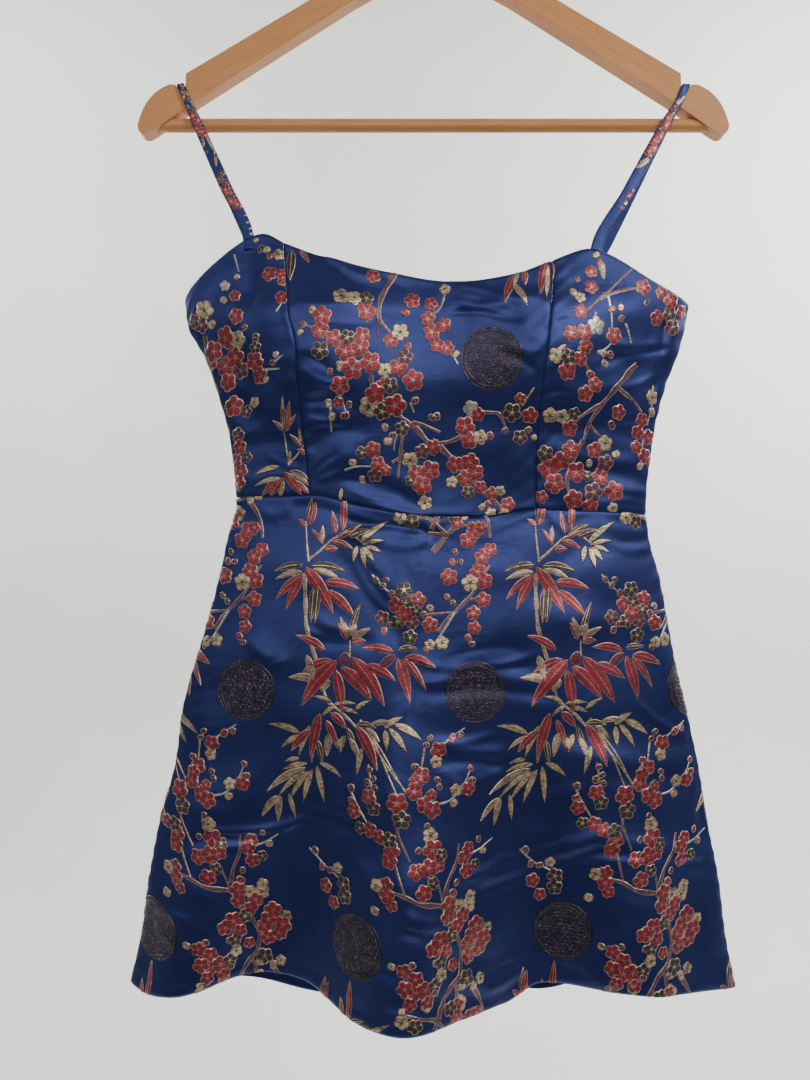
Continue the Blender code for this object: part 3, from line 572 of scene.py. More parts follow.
girth = RULED["front"][0]
print("cloth across the front at the hem:", round(girth[4, -1] - girth[4, 0]), "mm")

# %% [markdown]
# ## Satin, lining and threads
# Satin shines because each warp thread floats over many weft threads before it goes under one. The
# floats all lie along the length of the cloth, so the shine is stretched across them. A glossy, partly
# metallic surface with anisotropy does that, and fine streaks along the floats break it up. The
# pattern's threads are woven in where they show, so they are materials of their own, with a coarser
# twill.

# %% Helpers for materials
def new_material(name, colour, roughness, metallic=0.0):
    """A material with a Principled shader, set to one colour to start with."""
    material = bpy.data.materials.new(name)
    material.use_nodes = True
    shader = material.node_tree.nodes["Principled BSDF"]
    shader.inputs["Base Color"].default_value = (*colour, 1.0)
    shader.inputs["Roughness"].default_value = roughness
    shader.inputs["Metallic"].default_value = metallic
    return material, shader


def add_node(material, kind, inputs=None, **settings):
    """Adds a node, sets its settings and inputs, and links the inputs that are given as sockets."""
    node = material.node_tree.nodes.new(kind)
    for name, value in settings.items():
        setattr(node, name, value)
    for name, value in (inputs or {}).items():
        if isinstance(value, bpy.types.NodeSocket):
            material.node_tree.links.new(value, node.inputs[name])
        else:
            node.inputs[name].default_value = value
    return node


def link(material, start, end):
    material.node_tree.links.new(start, end)


def stretched(material, coordinates, scale):
    """Coordinates scaled differently along each axis, for streaks."""
    node = add_node(material, "ShaderNodeMapping", {"Vector": coordinates, "Scale": scale})
    return node.outputs["Vector"]


def ramp(material, factor, stops):
    """A colour ramp with these stops: place, colour."""
    node = add_node(material, "ShaderNodeValToRGB", {"Fac": factor})
    elements = node.color_ramp.elements
    while len(elements) < len(stops):
        elements.new(0.5)
    for element, (place, colour) in zip(elements, stops):
        element.position = place
        element.color = (*colour, 1.0)
    return node.outputs["Color"]


def bump(material, height, strength, distance, under=None):
    inputs = {"Height": height, "Strength": strength, "Distance": distance}
    if under is not None:
        inputs["Normal"] = under
    return add_node(material, "ShaderNodeBump", inputs).outputs["Normal"]


def cloth_place(material):
    """Places along the cloth, in metres."""
    return add_node(material, "ShaderNodeUVMap", uv_map="cloth").outputs["UV"]


def solid_place(material):
    return add_node(material, "ShaderNodeTexCoord").outputs["Object"]


def noise(material, place, scale=1.0, **settings):
    """Noise at a place. Further inputs go by their own names."""
    inputs = {"Vector": place, "Scale": scale, **settings}
    return add_node(material, "ShaderNodeTexNoise", inputs).outputs["Fac"]


def mix(material, share, first, second):
    inputs = {"Factor": share, "A": first, "B": second}
    return add_node(material, "ShaderNodeMix", inputs, data_type="FLOAT").outputs["Result"]


# %% The satin and its lining
SATIN_DARK, SATIN_BLUE, SATIN_LIGHT = (0.021, 0.030, 0.122), (0.030, 0.042, 0.164), (0.042, 0.061, 0.222)


def make_satin():
    material, shader = new_material("jacquard_satin", SATIN_BLUE, 0.40, 0.62)
    cloth = cloth_place(material)
    floats = noise(material, stretched(material, cloth, (2600.0, 120.0, 1.0)), Detail=2.0)
    picks = noise(material, stretched(material, cloth, (60.0, 900.0, 1.0)), Detail=2.0)
    mixed = mix(material, 0.35, noise(material, cloth, 14.0, Detail=3.0), picks)
    colour = ramp(material, mixed, ((0.25, SATIN_DARK), (0.5, SATIN_BLUE), (0.78, SATIN_LIGHT)))
    link(material, colour, shader.inputs["Base Color"])
    rough = add_node(
        material, "ShaderNodeMapRange",
        {"Value": floats, "From Min": 0.3, "From Max": 0.7, "To Min": 0.39, "To Max": 0.54},
    ).outputs["Result"]
    link(material, rough, shader.inputs["Roughness"])
    wrinkles = noise(material, cloth, 24.0, Detail=2.0, Roughness=0.45, Distortion=1.6)
    fine = bump(material, floats, 0.12, 0.0002, bump(material, wrinkles, 0.5, 0.0015))
    link(material, bump(material, picks, 0.16, 0.0003, fine), shader.inputs["Normal"])
    tangent = add_node(material, "ShaderNodeTangent", direction_type="UV_MAP", uv_map="cloth")
    link(material, tangent.outputs["Tangent"], shader.inputs["Tangent"])
    shader.inputs["Anisotropic"].default_value = 0.55
    shader.inputs["Specular IOR Level"].default_value = 0.35
    shader.inputs["Sheen Weight"].default_value = 0.12
    shader.inputs["Sheen Roughness"].default_value = 0.4
    shader.inputs["Sheen Tint"].default_value = (0.35, 0.5, 0.9, 1.0)
    return material


def make_lining():
    material, shader = new_material("lining", (0.006, 0.016, 0.075), 0.55)
    taffeta = noise(material, stretched(material, cloth_place(material), (1500.0, 1500.0, 1.0)))
    colour = ramp(material, taffeta, ((0.3, (0.004, 0.012, 0.06)), (0.7, (0.009, 0.022, 0.095))))
    link(material, colour, shader.inputs["Base Color"])
    link(material, bump(material, taffeta, 0.2, 0.0002), shader.inputs["Normal"])
    shader.inputs["Sheen Weight"].default_value = 0.2
    return material


satin, lining = make_satin(), make_lining()
print("made", satin.name, "and", lining.name)


# %% The pattern's threads
def make_thread(name, light, dark, roughness=0.5, metallic=0.0):
    """A floss thread in slanting rows, uneven in colour from row to row."""
    material, shader = new_material(name, light, roughness, metallic)
    cloth = cloth_place(material)
    turned = add_node(
        material, "ShaderNodeMapping",
        {"Vector": cloth, "Rotation": (0.0, 0.0, math.radians(28)), "Scale": (330.0, 1250.0, 1.0)},
    ).outputs["Vector"]
    rows = noise(material, turned, Detail=1.0)
    mixed = mix(material, 0.45, rows, noise(material, cloth, 160.0, Detail=2.0))
    link(material, ramp(material, mixed, ((0.38, dark), (0.58, light))), shader.inputs["Base Color"])
    link(material, bump(material, rows, 0.5, 0.0004), shader.inputs["Normal"])
    shader.inputs["Sheen Weight"].default_value = 0.3
    return material


THREADS = [
    make_thread("thread_beige", (0.50, 0.33, 0.255), (0.20, 0.12, 0.10), 0.30, 0.6),
    make_thread("thread_red", (0.37, 0.026, 0.046), (0.16, 0.011, 0.024), 0.34, 0.35),
    make_thread("thread_gold", (0.78, 0.61, 0.35), (0.15, 0.110, 0.062), 0.30, 0.5),
    make_thread("thread_brown", (0.050, 0.034, 0.032), (0.020, 0.015, 0.020), 0.4, 0.2),
    make_thread("thread_mauve", (0.21, 0.095, 0.115), (0.075, 0.038, 0.070), 0.36, 0.45),
    make_thread("thread_plum", (0.105, 0.020, 0.045), (0.050, 0.010, 0.028), 0.42, 0.15),
    make_thread("thread_copper", (0.12, 0.078, 0.086), (0.020, 0.016, 0.034), 0.24, 0.95),
    make_thread("thread_pale", (0.56, 0.55, 0.50), (0.26, 0.27, 0.27), 0.28, 0.6),
    make_thread("thread_dusk", (0.026, 0.028, 0.074), (0.015, 0.019, 0.056), 0.36, 0.6),
]
BEIGE, RED, GOLD, BROWN, MAUVE, PLUM, COPPER, PALE, DUSK = range(len(THREADS))
print(len(THREADS), "threads")

# %% [markdown]
# ## The cloth panels
# Each panel starts as a flat grid with as many cells as its folds need. Its points move to their
# places, it gets a UV map in real metres along the cloth, and Solidify gives it a wall whose inner
# side is the lining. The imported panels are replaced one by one.

# %% Make a panel's shell
def finish_mesh(obj, name, materials):
    """Names an object and its mesh, and gives it its materials."""
    obj.name = name
    obj.data.name = name
    obj.data.materials.clear()
    for material in materials:
        obj.data.materials.append(material)


def add_mesh(name, points, faces, materials):
    """A new object from points in millimetres, and its faces."""
    mesh = bpy.data.meshes.new(name)
    mesh.from_pydata((points * MM).tolist(), [], faces)
    obj = bpy.data.objects.new(name, mesh)
    bpy.context.scene.collection.objects.link(obj)
    finish_mesh(obj, name, materials)
    return obj


def choose(obj):
    """Selects one object alone, for the operators that follow."""
    clear_selection()
    obj.select_set(True)
    bpy.context.view_layer.objects.active = obj


def apply_modifier(obj, kind, **settings):
    choose(obj)
    modifier = obj.modifiers.new(kind.title(), kind)
    for key, value in settings.items():
        setattr(modifier, key, value)
    bpy.ops.object.modifier_apply(modifier=modifier.name)


def add_cloth_uv(mesh, places):
    """A UV map named cloth, from each vertex's place across and up the cloth, in metres."""
    layer = mesh.uv_layers.get("cloth") or mesh.uv_layers.new(name="cloth")
    corners = np.zeros(len(mesh.loops), np.int32)
    mesh.loops.foreach_get("vertex_index", corners)
    layer.data.foreach_set("uv", places[corners].astype(np.float32).ravel())
    mesh.uv_layers.active = layer


SHELL_WALL = 1.0
HEM_TURN = 12.0  # the satin is turned up this far inside the skirt's hem
laid = {}


def make_panel(name):
    points, outs, share, height = lay_panel(name)
    laid[name] = (points, outs)
    panel = PANELS[name]
    clear_selection()
    bpy.ops.mesh.primitive_grid_add(
        x_subdivisions=panel.cells_across, y_subdivisions=panel.cells_down, size=2
    )
    obj = bpy.context.object
    flat = np.zeros(len(obj.data.vertices) * 3)
    obj.data.vertices.foreach_get("co", flat)
    flat = flat.reshape(-1, 3)
    column = np.rint((flat[:, 0] + 1) / 2 * panel.cells_across).astype(int)
    row = np.rint((1 - flat[:, 1]) / 2 * panel.cells_down).astype(int)
    obj.data.vertices.foreach_set("co", (points[row, column] * MM).ravel())
    across = across_cloth(panel.side, share, height)
    places = np.stack([across[row, column], height[row, column]], -1) * MM
    add_cloth_uv(obj.data, places)
    finish_mesh(obj, name + "_cloth", [satin, lining])
    above_hem = (height - height[-1])[row, column]
    turned_up = [max(above_hem[i] for i in face.vertices) < HEM_TURN for face in obj.data.polygons]
    apply_modifier(obj, "SOLIDIFY", thickness=SHELL_WALL * MM, offset=-1.0, material_offset=1)
    if name.startswith("skirt"):
        for number, turned in enumerate(turned_up):
            if turned:
                obj.data.polygons[len(turned_up) + number].material_index = 0
    obj.data.shade_smooth()
    return obj


panels = {name: make_panel(name) for name in PANELS}
print({name: len(obj.data.polygons) for name, obj in panels.items()})

# %% [markdown]
# ## The woven pattern
# A jacquard loom lifts each warp thread on its own, so that coloured weft threads can show wherever
# the designer's chart says. The pattern could be painted in a texture, but the real threads stand a
# little above the satin and catch the light, so here they are thin pieces of mesh. Each kind of mark
# is modelled once, flat, and then copied to its places on the chart: plum blossoms, bamboo leaves,
# branches and round medallions.

# %% The blossom and the bud, modelled once
Mark = namedtuple("Mark", "places lifts faces parts")
RIM_DEPTH, FLOWER_MIDDLE = -0.18, 0.03


def template_from(obj, lift_at, part_at):
    """A flat mesh as arrays. Faces are padded to four corners with -1."""
    mesh = obj.data
    places = np.array([v.co[:2] for v in mesh.vertices])
    radii = np.array([v.co.z for v in mesh.vertices])
    faces = np.array([list(f.vertices) + [-1] * (4 - len(f.vertices)) for f in mesh.polygons])
    parts = np.array([part_at(f) for f in mesh.polygons])
    return Mark(places, lift_at(radii), faces, parts)


def model_flower(name, petals, corners, rings):
    """A disc inset ring by ring. Each corner's z keeps the ring it is in, until the mesh is read."""
    clear_selection()
    bpy.ops.mesh.primitive_circle_add(vertices=corners, radius=1.0, fill_type="NGON")
    flower = bpy.context.object
    flower.name = name
    bpy.ops.object.mode_set(mode="EDIT")
    bpy.ops.mesh.select_all(action="SELECT")
    for width in rings:
        bpy.ops.mesh.inset(thickness=width)
    bpy.ops.mesh.poke()
    bpy.ops.object.mode_set(mode="OBJECT")
    edges = [1.0]
    for width in rings:
        edges.append(edges[-1] - width / math.cos(math.pi / corners))
    for vertex in flower.data.vertices:
        x, y, _ = vertex.co
        radius, angle = math.hypot(x, y), math.atan2(x, y)
        ring = min(range(len(edges)), key=lambda i: abs(edges[i] - radius))
        ring = ring if radius > FLOWER_MIDDLE else len(edges)
        petal = abs(math.cos(petals * angle / 2)) ** 0.6
        if ring <= 1:
            size = edges[ring] * (0.8 + 0.2 * petal)
        elif ring == 2:
            size = edges[ring] * (0.58 + 0.42 * petal)
        else:
            size = radius * (0.34 + 1.1 * abs(math.sin(petals * angle / 2)) ** 8)
        grow = size / radius if radius > FLOWER_MIDDLE else 1.0
        vertex.co = (x * grow, y * grow, ring)
    return flower


def ring_part(face_rings):
    """Which part of a flower a face belongs to: 0 edge, 1 petals, 2 eye."""
    inner = max(face_rings)
    return 0 if inner <= 2 else (1 if inner == 3 else 2)


def flower_template(name, petals, corners, rings, lifts):
    flower = model_flower(name, petals, corners, rings)
    mesh = flower.data
    part = lambda f: ring_part([round(mesh.vertices[i].co.z) for i in f.vertices])
    mark = template_from(flower, lambda radii: np.array(lifts)[np.rint(radii).astype(int)], part)
    bpy.data.objects.remove(flower)
    return mark


BLOSSOM = flower_template("blossom", 5, 20, (0.035, 0.065, 0.50), (RIM_DEPTH, 0.1, 0.2, 0.26, 0.22))
BUD = flower_template("bud", 2, 8, (0.1, 0.2, 0.35), (RIM_DEPTH, 0.1, 0.2, 0.22, 0.22))
print("a blossom has", len(BLOSSOM.faces), "faces and a bud", len(BUD.faces))


# %% The bamboo leaf and the ribbon, as strips with a few lines across them
def strip_template(lines, lengths):
    """A grid's faces, and for each corner its line across and its station along."""
    clear_selection()
    bpy.ops.mesh.primitive_grid_add(x_subdivisions=lines - 1, y_subdivisions=lengths, size=2)
    strip = bpy.context.object
    line = np.array([round((v.co.x + 1) / 2 * (lines - 1)) for v in strip.data.vertices])
    station = np.array([round((v.co.y + 1) / 2 * lengths) for v in strip.data.vertices])
    faces = np.array([list(f.vertices) for f in strip.data.polygons])
    bpy.data.objects.remove(strip)
    return line, station, faces, line[faces].min(1)


LEAF_LINES, LEAF_STATIONS, RIBBON_LINES = 8, 9, 6
LEAF_STRIP = strip_template(LEAF_LINES, LEAF_STATIONS)


def leaf_mark(length, width, bow, edge=0.5):
    """A long leaf from its stalk at the origin, along +Y: outline, blade and pale midrib."""
    line, station, faces, first = LEAF_STRIP
    t = station / LEAF_STATIONS
    half = width / 2 * np.sin(np.pi * t**0.72) ** 0.8 + 0.12
    inner = np.clip(half - edge, half * 0.2, None)
    vein = np.minimum(0.26, inner * 0.5)
    offsets = np.stack([-half - 0.3, -half, -inner, -vein, vein, inner, half, half + 0.3], -1)
    x = offsets[np.arange(len(line)), line] + bow * length * np.sin(np.pi * t)
    lifts = np.array([RIM_DEPTH, 0.08, 0.16, 0.22, 0.22, 0.16, 0.08, RIM_DEPTH])[line]
    parts = np.array([0, 0, 1, 2, 1, 0, 0])[first]
    return Mark(np.stack([x, t * length], -1), lifts, faces, parts)


def ribbon_mark(route, widths, edge=0.5):
    """A strip that follows a route on the cloth: outline, middle and outline."""
    stations = len(route) - 1
    line, station, faces, first = strip_template(RIBBON_LINES, stations)
    along = np.gradient(route, axis=0)
    along /= np.linalg.norm(along, axis=1, keepdims=True)
    aside = np.stack([along[:, 1], -along[:, 0]], -1)
    half = np.asarray(widths) / 2
    inner = np.clip(half - edge, half * 0.3, None)
    offsets = np.stack([-half - 0.3, -half, -inner, inner, half, half + 0.3], -1)
    places = route[station] + aside[station] * offsets[station, line][:, None]
    lifts = np.array([RIM_DEPTH, 0.06, 0.12, 0.12, 0.06, RIM_DEPTH])[line]
    return Mark(places, lifts, faces, np.array([0, 0, 1, 0, 0])[first])


print("a leaf has", len(LEAF_STRIP[2]), "faces")


# %% A chart collects marks, in millimetres along the cloth
class Chart:
    """Marks at their places across and up the cloth, with the thread of every face."""

    def __init__(self):
        self.places, self.lifts, self.faces, self.threads = [], [], [], []
        self.corners = 0
        self.marks = 0

    def add(self, mark, threads, centre=(0.0, 0.0), size=1.0, turn=0.0, layer=0.2):
        """Adds a mark, turned clockwise, with one thread for each of its parts."""
        c, s = math.cos(turn), math.sin(turn)
        x, y = mark.places[:, 0] * size, mark.places[:, 1] * size
        self.places.append(np.stack([x * c + y * s + centre[0], y * c - x * s + centre[1]], -1))
        self.lifts.append(np.where(mark.lifts < 0, mark.lifts, mark.lifts + layer))
        self.faces.append(np.where(mark.faces < 0, -1, mark.faces + self.corners))
        self.threads.append(np.array(threads)[mark.parts])
        self.corners += len(mark.places)
        self.marks += 1

    def arrays(self):
        return tuple(np.concatenate(x) for x in (self.places, self.lifts, self.faces, self.threads))


SQUARE_MM = 0.712  # a square on the cloth, where it faces the camera
marks_random = random.Random(11)
BLOSSOM_FULLNESS = 1.36  # woven petals spread past their charted edge
# Threads of a mark's outline, body and inner strokes
BLOSSOM_THREADS = {
    "r": (BEIGE, RED, BEIGE), "b": (BEIGE, GOLD, BROWN), "d": (BEIGE, BROWN, GOLD),
    "p": (BEIGE, PLUM, BEIGE), "w": (GOLD, PALE, GOLD),
}
LEAF_THREADS = {
    "r": (BEIGE, RED, BEIGE), "b": (GOLD, BEIGE, GOLD), "g": (BROWN, GOLD, BEIGE),
    "d": (BEIGE, BROWN, GOLD), "p": (BEIGE, PLUM, RED),
}
BRANCH_THREADS = {"m": (BEIGE, MAUVE), "k": (PLUM, COPPER), "w": (PALE, PALE), "g": (GOLD, BEIGE)}


def kind_of(row, column):
    """A mark's kind, which is red where its row names none."""
    return row[column] if len(row) > column else "r"


def add_blossoms(chart, rows):
    """Rows of x, y, diameter in squares, and kind."""
    x, y = np.array([row[:2] for row in rows], float).T
    centres = np.stack(from_chart(x, y), -1)
    for number, (centre, row) in enumerate(zip(centres, rows)):
        mark = BLOSSOM if row[2] > 8 else BUD
        turn = marks_random.uniform(0, FULL_TURN)
        size = row[2] * SQUARE_MM / 2 * BLOSSOM_FULLNESS
        threads = BLOSSOM_THREADS[kind_of(row, 3)]
        chart.add(mark, threads, centre, size, turn, 0.24 + 0.05 * (number % 5))


def add_leaves(chart, rows):
    """Rows of stalk x, y, tip x, y, width in squares, and kind. Leaves bow a little downwards."""
    stalks = np.stack(from_chart([row[0] for row in rows], [row[1] for row in rows]), -1)
    tips = np.stack(from_chart([row[2] for row in rows], [row[3] for row in rows]), -1)
    for number, (stalk, tip, row) in enumerate(zip(stalks, tips, rows)):
        ax, ay = tip - stalk
        length, turn = math.hypot(ax, ay), math.atan2(ax, ay)
        bow = -0.07 * (1 if ax > 0 else -1) * abs(ax) / length
        mark = leaf_mark(length, row[4] * SQUARE_MM, bow)
        threads = LEAF_THREADS[kind_of(row, 5)]
        chart.add(mark, threads, stalk, 1.0, turn, 0.2 + 0.04 * (number % 5))


def smooth_route(places, spacing=2.6):
    """A route through these places, rounded at its corners."""
    places = np.array(places, float)
    steps = np.concatenate([[0], np.cumsum(np.linalg.norm(np.diff(places, axis=0), axis=1))])
    count = max(3, int(steps[-1] / spacing))
    at = np.linspace(0, steps[-1], count + 1)
    route = np.stack([np.interp(at, steps, places[:, k]) for k in (0, 1)], -1)
    for _ in range(2):
        route[1:-1] = (route[:-2] + 2 * route[1:-1] + route[2:]) / 4
    return route


def add_branches(chart, rows):
    """Rows of width in squares, kind, and the places along the branch. A branch thins towards its end."""
    for number, (width, kind, *places) in enumerate(rows):
        x, y = np.array(places, float).T
        route = smooth_route(np.stack(from_chart(x, y), -1))
        t = np.linspace(0, 1, len(route))
        knots = 1 + 0.22 * np.sin(t * len(route) * 0.9 + number)
        widths = width * SQUARE_MM * (1 - 0.55 * t) * (knots if width > 3 else 1.0)
        chart.add(ribbon_mark(route, widths, 0.45), BRANCH_THREADS[kind], layer=0.12 + 0.03 * (number % 4))


print("threads for", len(BLOSSOM_THREADS), "kinds of blossom")

# %% The medallion: two rings, a wreath of loops and a dense lace of scrolls inside
MEDALLION_RADIUS = 22.0
# LIT_SHARE: the share of a lit medallion's scrolls that get the mauve middle of the painted glint
LACE_RADIUS, LACE_SPACING, LACE_SHAKE, LIT_SHARE = 17.6, 3.5, 0.6, 0.35
LOOP_COUNT, LOOP_RADIUS = 34, 20.05


def curl(start_radius, end_radius, turns, steps):
    t = np.linspace(0, 1, steps)
    radius = start_radius + (end_radius - start_radius) * t
    angle = turns * 2 * math.pi * t
    return np.stack([radius * np.cos(angle), radius * np.sin(angle)], -1)


def curl_mark(start_radius, end_radius, turns, steps, width):
    return ribbon_mark(curl(start_radius, end_radius, turns, steps), np.full(steps, width), 0.15)


RINGS = [curl_mark(radius, radius, 1, 49, width) for radius, width in ((21.4, 0.8), (18.7, 0.5))]
LOOP = curl_mark(1.0, 1.0, 1, 8, 0.35)
SCROLLS = [
    curl_mark(1.7, 0.5, 1.35, 11, 0.5), curl_mark(1.9, 0.9, 0.9, 9, 0.5),
    curl_mark(1.6, 0.6, -1.25, 11, 0.5), curl_mark(2.0, 1.3, -0.7, 8, 0.6),
]


def disc_mark(radius, cells):
    """A round patch of plain weave, the ground under a medallion's lace."""
    clear_selection()
    bpy.ops.mesh.primitive_grid_add(x_subdivisions=cells, y_subdivisions=cells, size=2 * radius)
    patch = bpy.context.object
    places = np.array([v.co[:2] for v in patch.data.vertices])
    faces = np.array([list(f.vertices) for f in patch.data.polygons])
    bpy.data.objects.remove(patch)
    faces = faces[np.linalg.norm(places[faces].mean(1), axis=1) < radius]
    outside = np.maximum(np.linalg.norm(places, axis=1) / radius, 1)[:, None]
    return Mark(places / outside, np.full(len(places), 0.06), faces, np.zeros(len(faces), int))


GROUND = disc_mark(21.0, 24)


def add_medallion(chart, x, y, lit):
    """A round medallion of fine metal thread. Where lit, two loops in three and about a third of its scrolls
    get a mauve middle: a painted glint on the copper thread.
    """
    centre = np.concatenate(from_chart([x], [y]))
    # The copper and mauve pair is a painted highlight: the same copper thread, paler where it catches the
    # light.
    glint_threads, dull = (COPPER, MAUVE), (COPPER, COPPER)
    chart.add(GROUND, (DUSK,), centre, layer=0.05)
    for ring in RINGS:
        chart.add(ring, dull, centre)
    for k in range(LOOP_COUNT):
        angle = k * 2 * math.pi / LOOP_COUNT
        spot = centre + LOOP_RADIUS * np.array([math.cos(angle), math.sin(angle)])
        chart.add(LOOP, glint_threads if lit and k % 3 else dull, spot)
    rows = int(LACE_RADIUS / LACE_SPACING) + 1
    for i in range(-rows, rows + 1):
        for j in range(-rows, rows + 1):
            spot = LACE_SPACING * np.array([i + 0.5 * (j % 2), 0.87 * j])
            spot += [marks_random.uniform(-LACE_SHAKE, LACE_SHAKE) for _ in range(2)]
            if np.hypot(*spot) > LACE_RADIUS:
                continue
            threads = glint_threads if lit and marks_random.random() < LIT_SHARE else dull
            mark = SCROLLS[marks_random.randrange(len(SCROLLS))]
            chart.add(mark, threads, centre + spot, 1.0, marks_random.uniform(0, FULL_TURN))


print("a medallion is", 2 * MEDALLION_RADIUS, "mm across")

# %% [markdown]
# ## The skirt's chart
# The pattern repeats every 166 mm across the cloth and every 343 mm along it. One repeat holds a
# stand of bamboo, two sprays of plum blossom and two medallions. It is charted where the skirt's front
# shows it best, and then repeated over every panel that is cut from the same stretch of cloth.

# %% One repeat: blossoms as x, y, diameter, kind
SPRAY_ABOVE = (
    (422, 490, 14), (432, 488, 12, "d"), (424, 505, 10, "b"), (468, 490, 14, "d"), (450, 515, 12, "d"),
    (462, 513, 13, "b"), (475, 530, 15), (468, 540, 14), (412, 522, 12, "d"), (455, 552, 6, "p"),
    (452, 562, 7), (460, 562, 6, "p"), (449, 577, 14), (470, 583, 14, "b"), (482, 557, 13),
    (478, 572, 14), (484, 581, 14), (490, 550, 12), (447, 597, 6), (453, 603, 6, "p"), (430, 625, 13),
    (430, 608, 7, "b"), (424, 615, 7), (473, 613, 12), (483, 600, 13), (474, 628, 11), (468, 638, 7),
    (472, 644, 6, "p"), (442, 643, 11, "b"), (430, 645, 9, "b"), (426, 650, 6),
)
DARK_CLUSTER = (
    (376, 580, 6, "p"), (383, 586, 6, "d"), (386, 580, 6, "p"), (392, 594, 7), (404, 590, 13, "d"),
    (418, 600, 13), (396, 605, 13), (406, 603, 12, "d"), (405, 614, 14), (416, 611, 10, "d"),
    (398, 622, 12, "d"), (412, 622, 12, "p"), (382, 618, 12, "p"), (410, 637, 12, "d"), (384, 631, 7),
    (390, 625, 7, "p"),
)
SPRAY_BELOW_TOP = (
    (438, 750, 13), (436, 762, 10, "b"), (430, 738, 6, "p"), (426, 745, 6, "p"), (452, 738, 8),
    (461, 735, 6), (421, 776, 14), (415, 767, 7, "p"), (414, 792, 13), (416, 783, 12), (425, 805, 14),
    (432, 810, 14), (431, 795, 9), (437, 780, 6, "p"), (439, 787, 6, "p"), (467, 788, 12),
    (455, 790, 10, "b"), (471, 780, 7, "p"), (470, 768, 6), (453, 803, 7, "b"), (398, 803, 16),
    (402, 820, 14, "d"), (370, 797, 13), (375, 808, 12, "d"), (368, 783, 7, "p"), (374, 779, 6, "d"),
    (370, 770, 6, "p"), (376, 788, 6, "d"), (352, 788, 7, "p"), (352, 800, 7), (355, 811, 12),
    (371, 830, 12), (361, 828, 10, "d"), (380, 837, 11), (390, 840, 12, "d"), (392, 850, 14),
    (390, 861, 13),
)
SPRAY_BELOW_MIDDLE = (
    (427, 827, 6, "p"), (430, 836, 12, "b"), (432, 850, 16), (440, 855, 10, "d"), (428, 868, 14),
    (416, 872, 13), (437, 865, 12), (418, 851, 6, "p"), (467, 848, 11), (463, 857, 12), (465, 870, 12),
    (474, 864, 9, "d"), (478, 839, 6, "p"), (482, 850, 7, "b"), (423, 893, 13), (432, 883, 10, "d"),
    (455, 882, 6, "p"), (452, 893, 8), (448, 905, 14), (447, 917, 13), (458, 906, 11, "b"),
    (468, 905, 13, "b"), (470, 896, 10, "b"), (462, 915, 13), (457, 925, 12), (475, 925, 15),
    (486, 927, 9, "b"), (470, 936, 14), (482, 938, 15), (478, 948, 13), (466, 945, 13), (440, 941, 15),
    (432, 949, 13), (445, 952, 12), (440, 962, 11, "d"), (451, 935, 12, "d"), (468, 956, 13),
    (452, 965, 10), (434, 963, 6, "p"), (440, 975, 10, "b"), (464, 977, 10), (478, 977, 9, "b"),
    (471, 985, 8, "b"), (460, 986, 8, "b"),
)
SPRAY_BELOW_FOOT = (
    (404, 972, 12), (392, 967, 7, "b"), (415, 979, 12), (412, 965, 6, "p"), (405, 990, 13),
    (416, 993, 13), (410, 1005, 11), (402, 1012, 6, "b"), (427, 1003, 11), (434, 993, 7, "p"),
    (402, 1022, 11, "b"), (455, 1015, 11), (458, 1003, 10), (475, 1012, 10), (327, 885, 12),
    (345, 884, 13, "d"), (346, 896, 13, "d"), (335, 902, 11), (375, 911, 8, "b"), (378, 885, 10, "b"),
    (387, 885, 12), (388, 896, 13), (392, 906, 10), (316, 850, 7, "p"), (323, 866, 7), (331, 870, 7, "p"),
    (339, 868, 9, "b"),
)
print("blossoms in a repeat:", sum(map(len, (
    SPRAY_ABOVE, DARK_CLUSTER, SPRAY_BELOW_TOP, SPRAY_BELOW_MIDDLE, SPRAY_BELOW_FOOT,
))))

# %% One repeat: branches as width, kind and the places along them
BRANCHES = (
    (6, "m", (433, 552), (447, 535), (462, 520), (455, 490)), (4, "m", (462, 520), (468, 508)),
    (4, "m", (447, 535), (432, 520), (418, 517)), (5, "m", (447, 535), (428, 533)),
    (5, "m", (438, 632), (455, 612), (470, 597), (480, 582), (490, 565)),
    (3, "m", (425, 615), (455, 612)), (3, "m", (470, 600), (487, 596)),
    (2.5, "w", (455, 612), (443, 632), (430, 650)), (2, "w", (372, 575), (384, 588), (396, 598)),
    (2, "g", (425, 745), (422, 765), (418, 790)), (2, "w", (438, 748), (450, 738), (465, 728)),
    (2, "w", (432, 806), (450, 801), (465, 782), (470, 768)),
    (2, "g", (368, 765), (373, 790), (378, 815)), (2, "g", (348, 785), (358, 805), (370, 827)),
    (3, "m", (398, 812), (398, 835), (410, 862)), (3, "m", (380, 838), (393, 856), (405, 895)),
    (5, "m", (433, 1030), (440, 1010), (448, 990), (458, 975), (462, 955), (455, 930), (440, 906)),
    (5, "m", (440, 906), (420, 905), (405, 896), (388, 890)), (4, "m", (440, 1020), (405, 1015)),
    (4, "m", (443, 898), (447, 880), (455, 865), (458, 843)), (3, "m", (455, 1018), (482, 1009)),
    (3, "m", (455, 940), (446, 922), (436, 880)), (2, "w", (465, 856), (478, 850), (492, 838)),
    (2, "w", (310, 848), (325, 865), (345, 882)),
    (5, "m", (470, 985), (480, 1000), (482, 1020)),
    (4, "g", (305, 573), (306, 625), (313, 650), (318, 665), (326, 700), (345, 715), (380, 755)),
    (2, "g", (380, 755), (405, 790)), (2, "g", (309, 562), (307, 545), (306, 525)),
    (2.5, "g", (309, 560), (318, 553), (335, 537), (350, 533), (365, 545)),
    (2, "g", (350, 657), (350, 640)), (2, "g", (370, 735), (385, 765), (398, 795)),
    (2, "g", (360, 720), (385, 755), (407, 795)), (2, "g", (316, 738), (312, 762)),
)

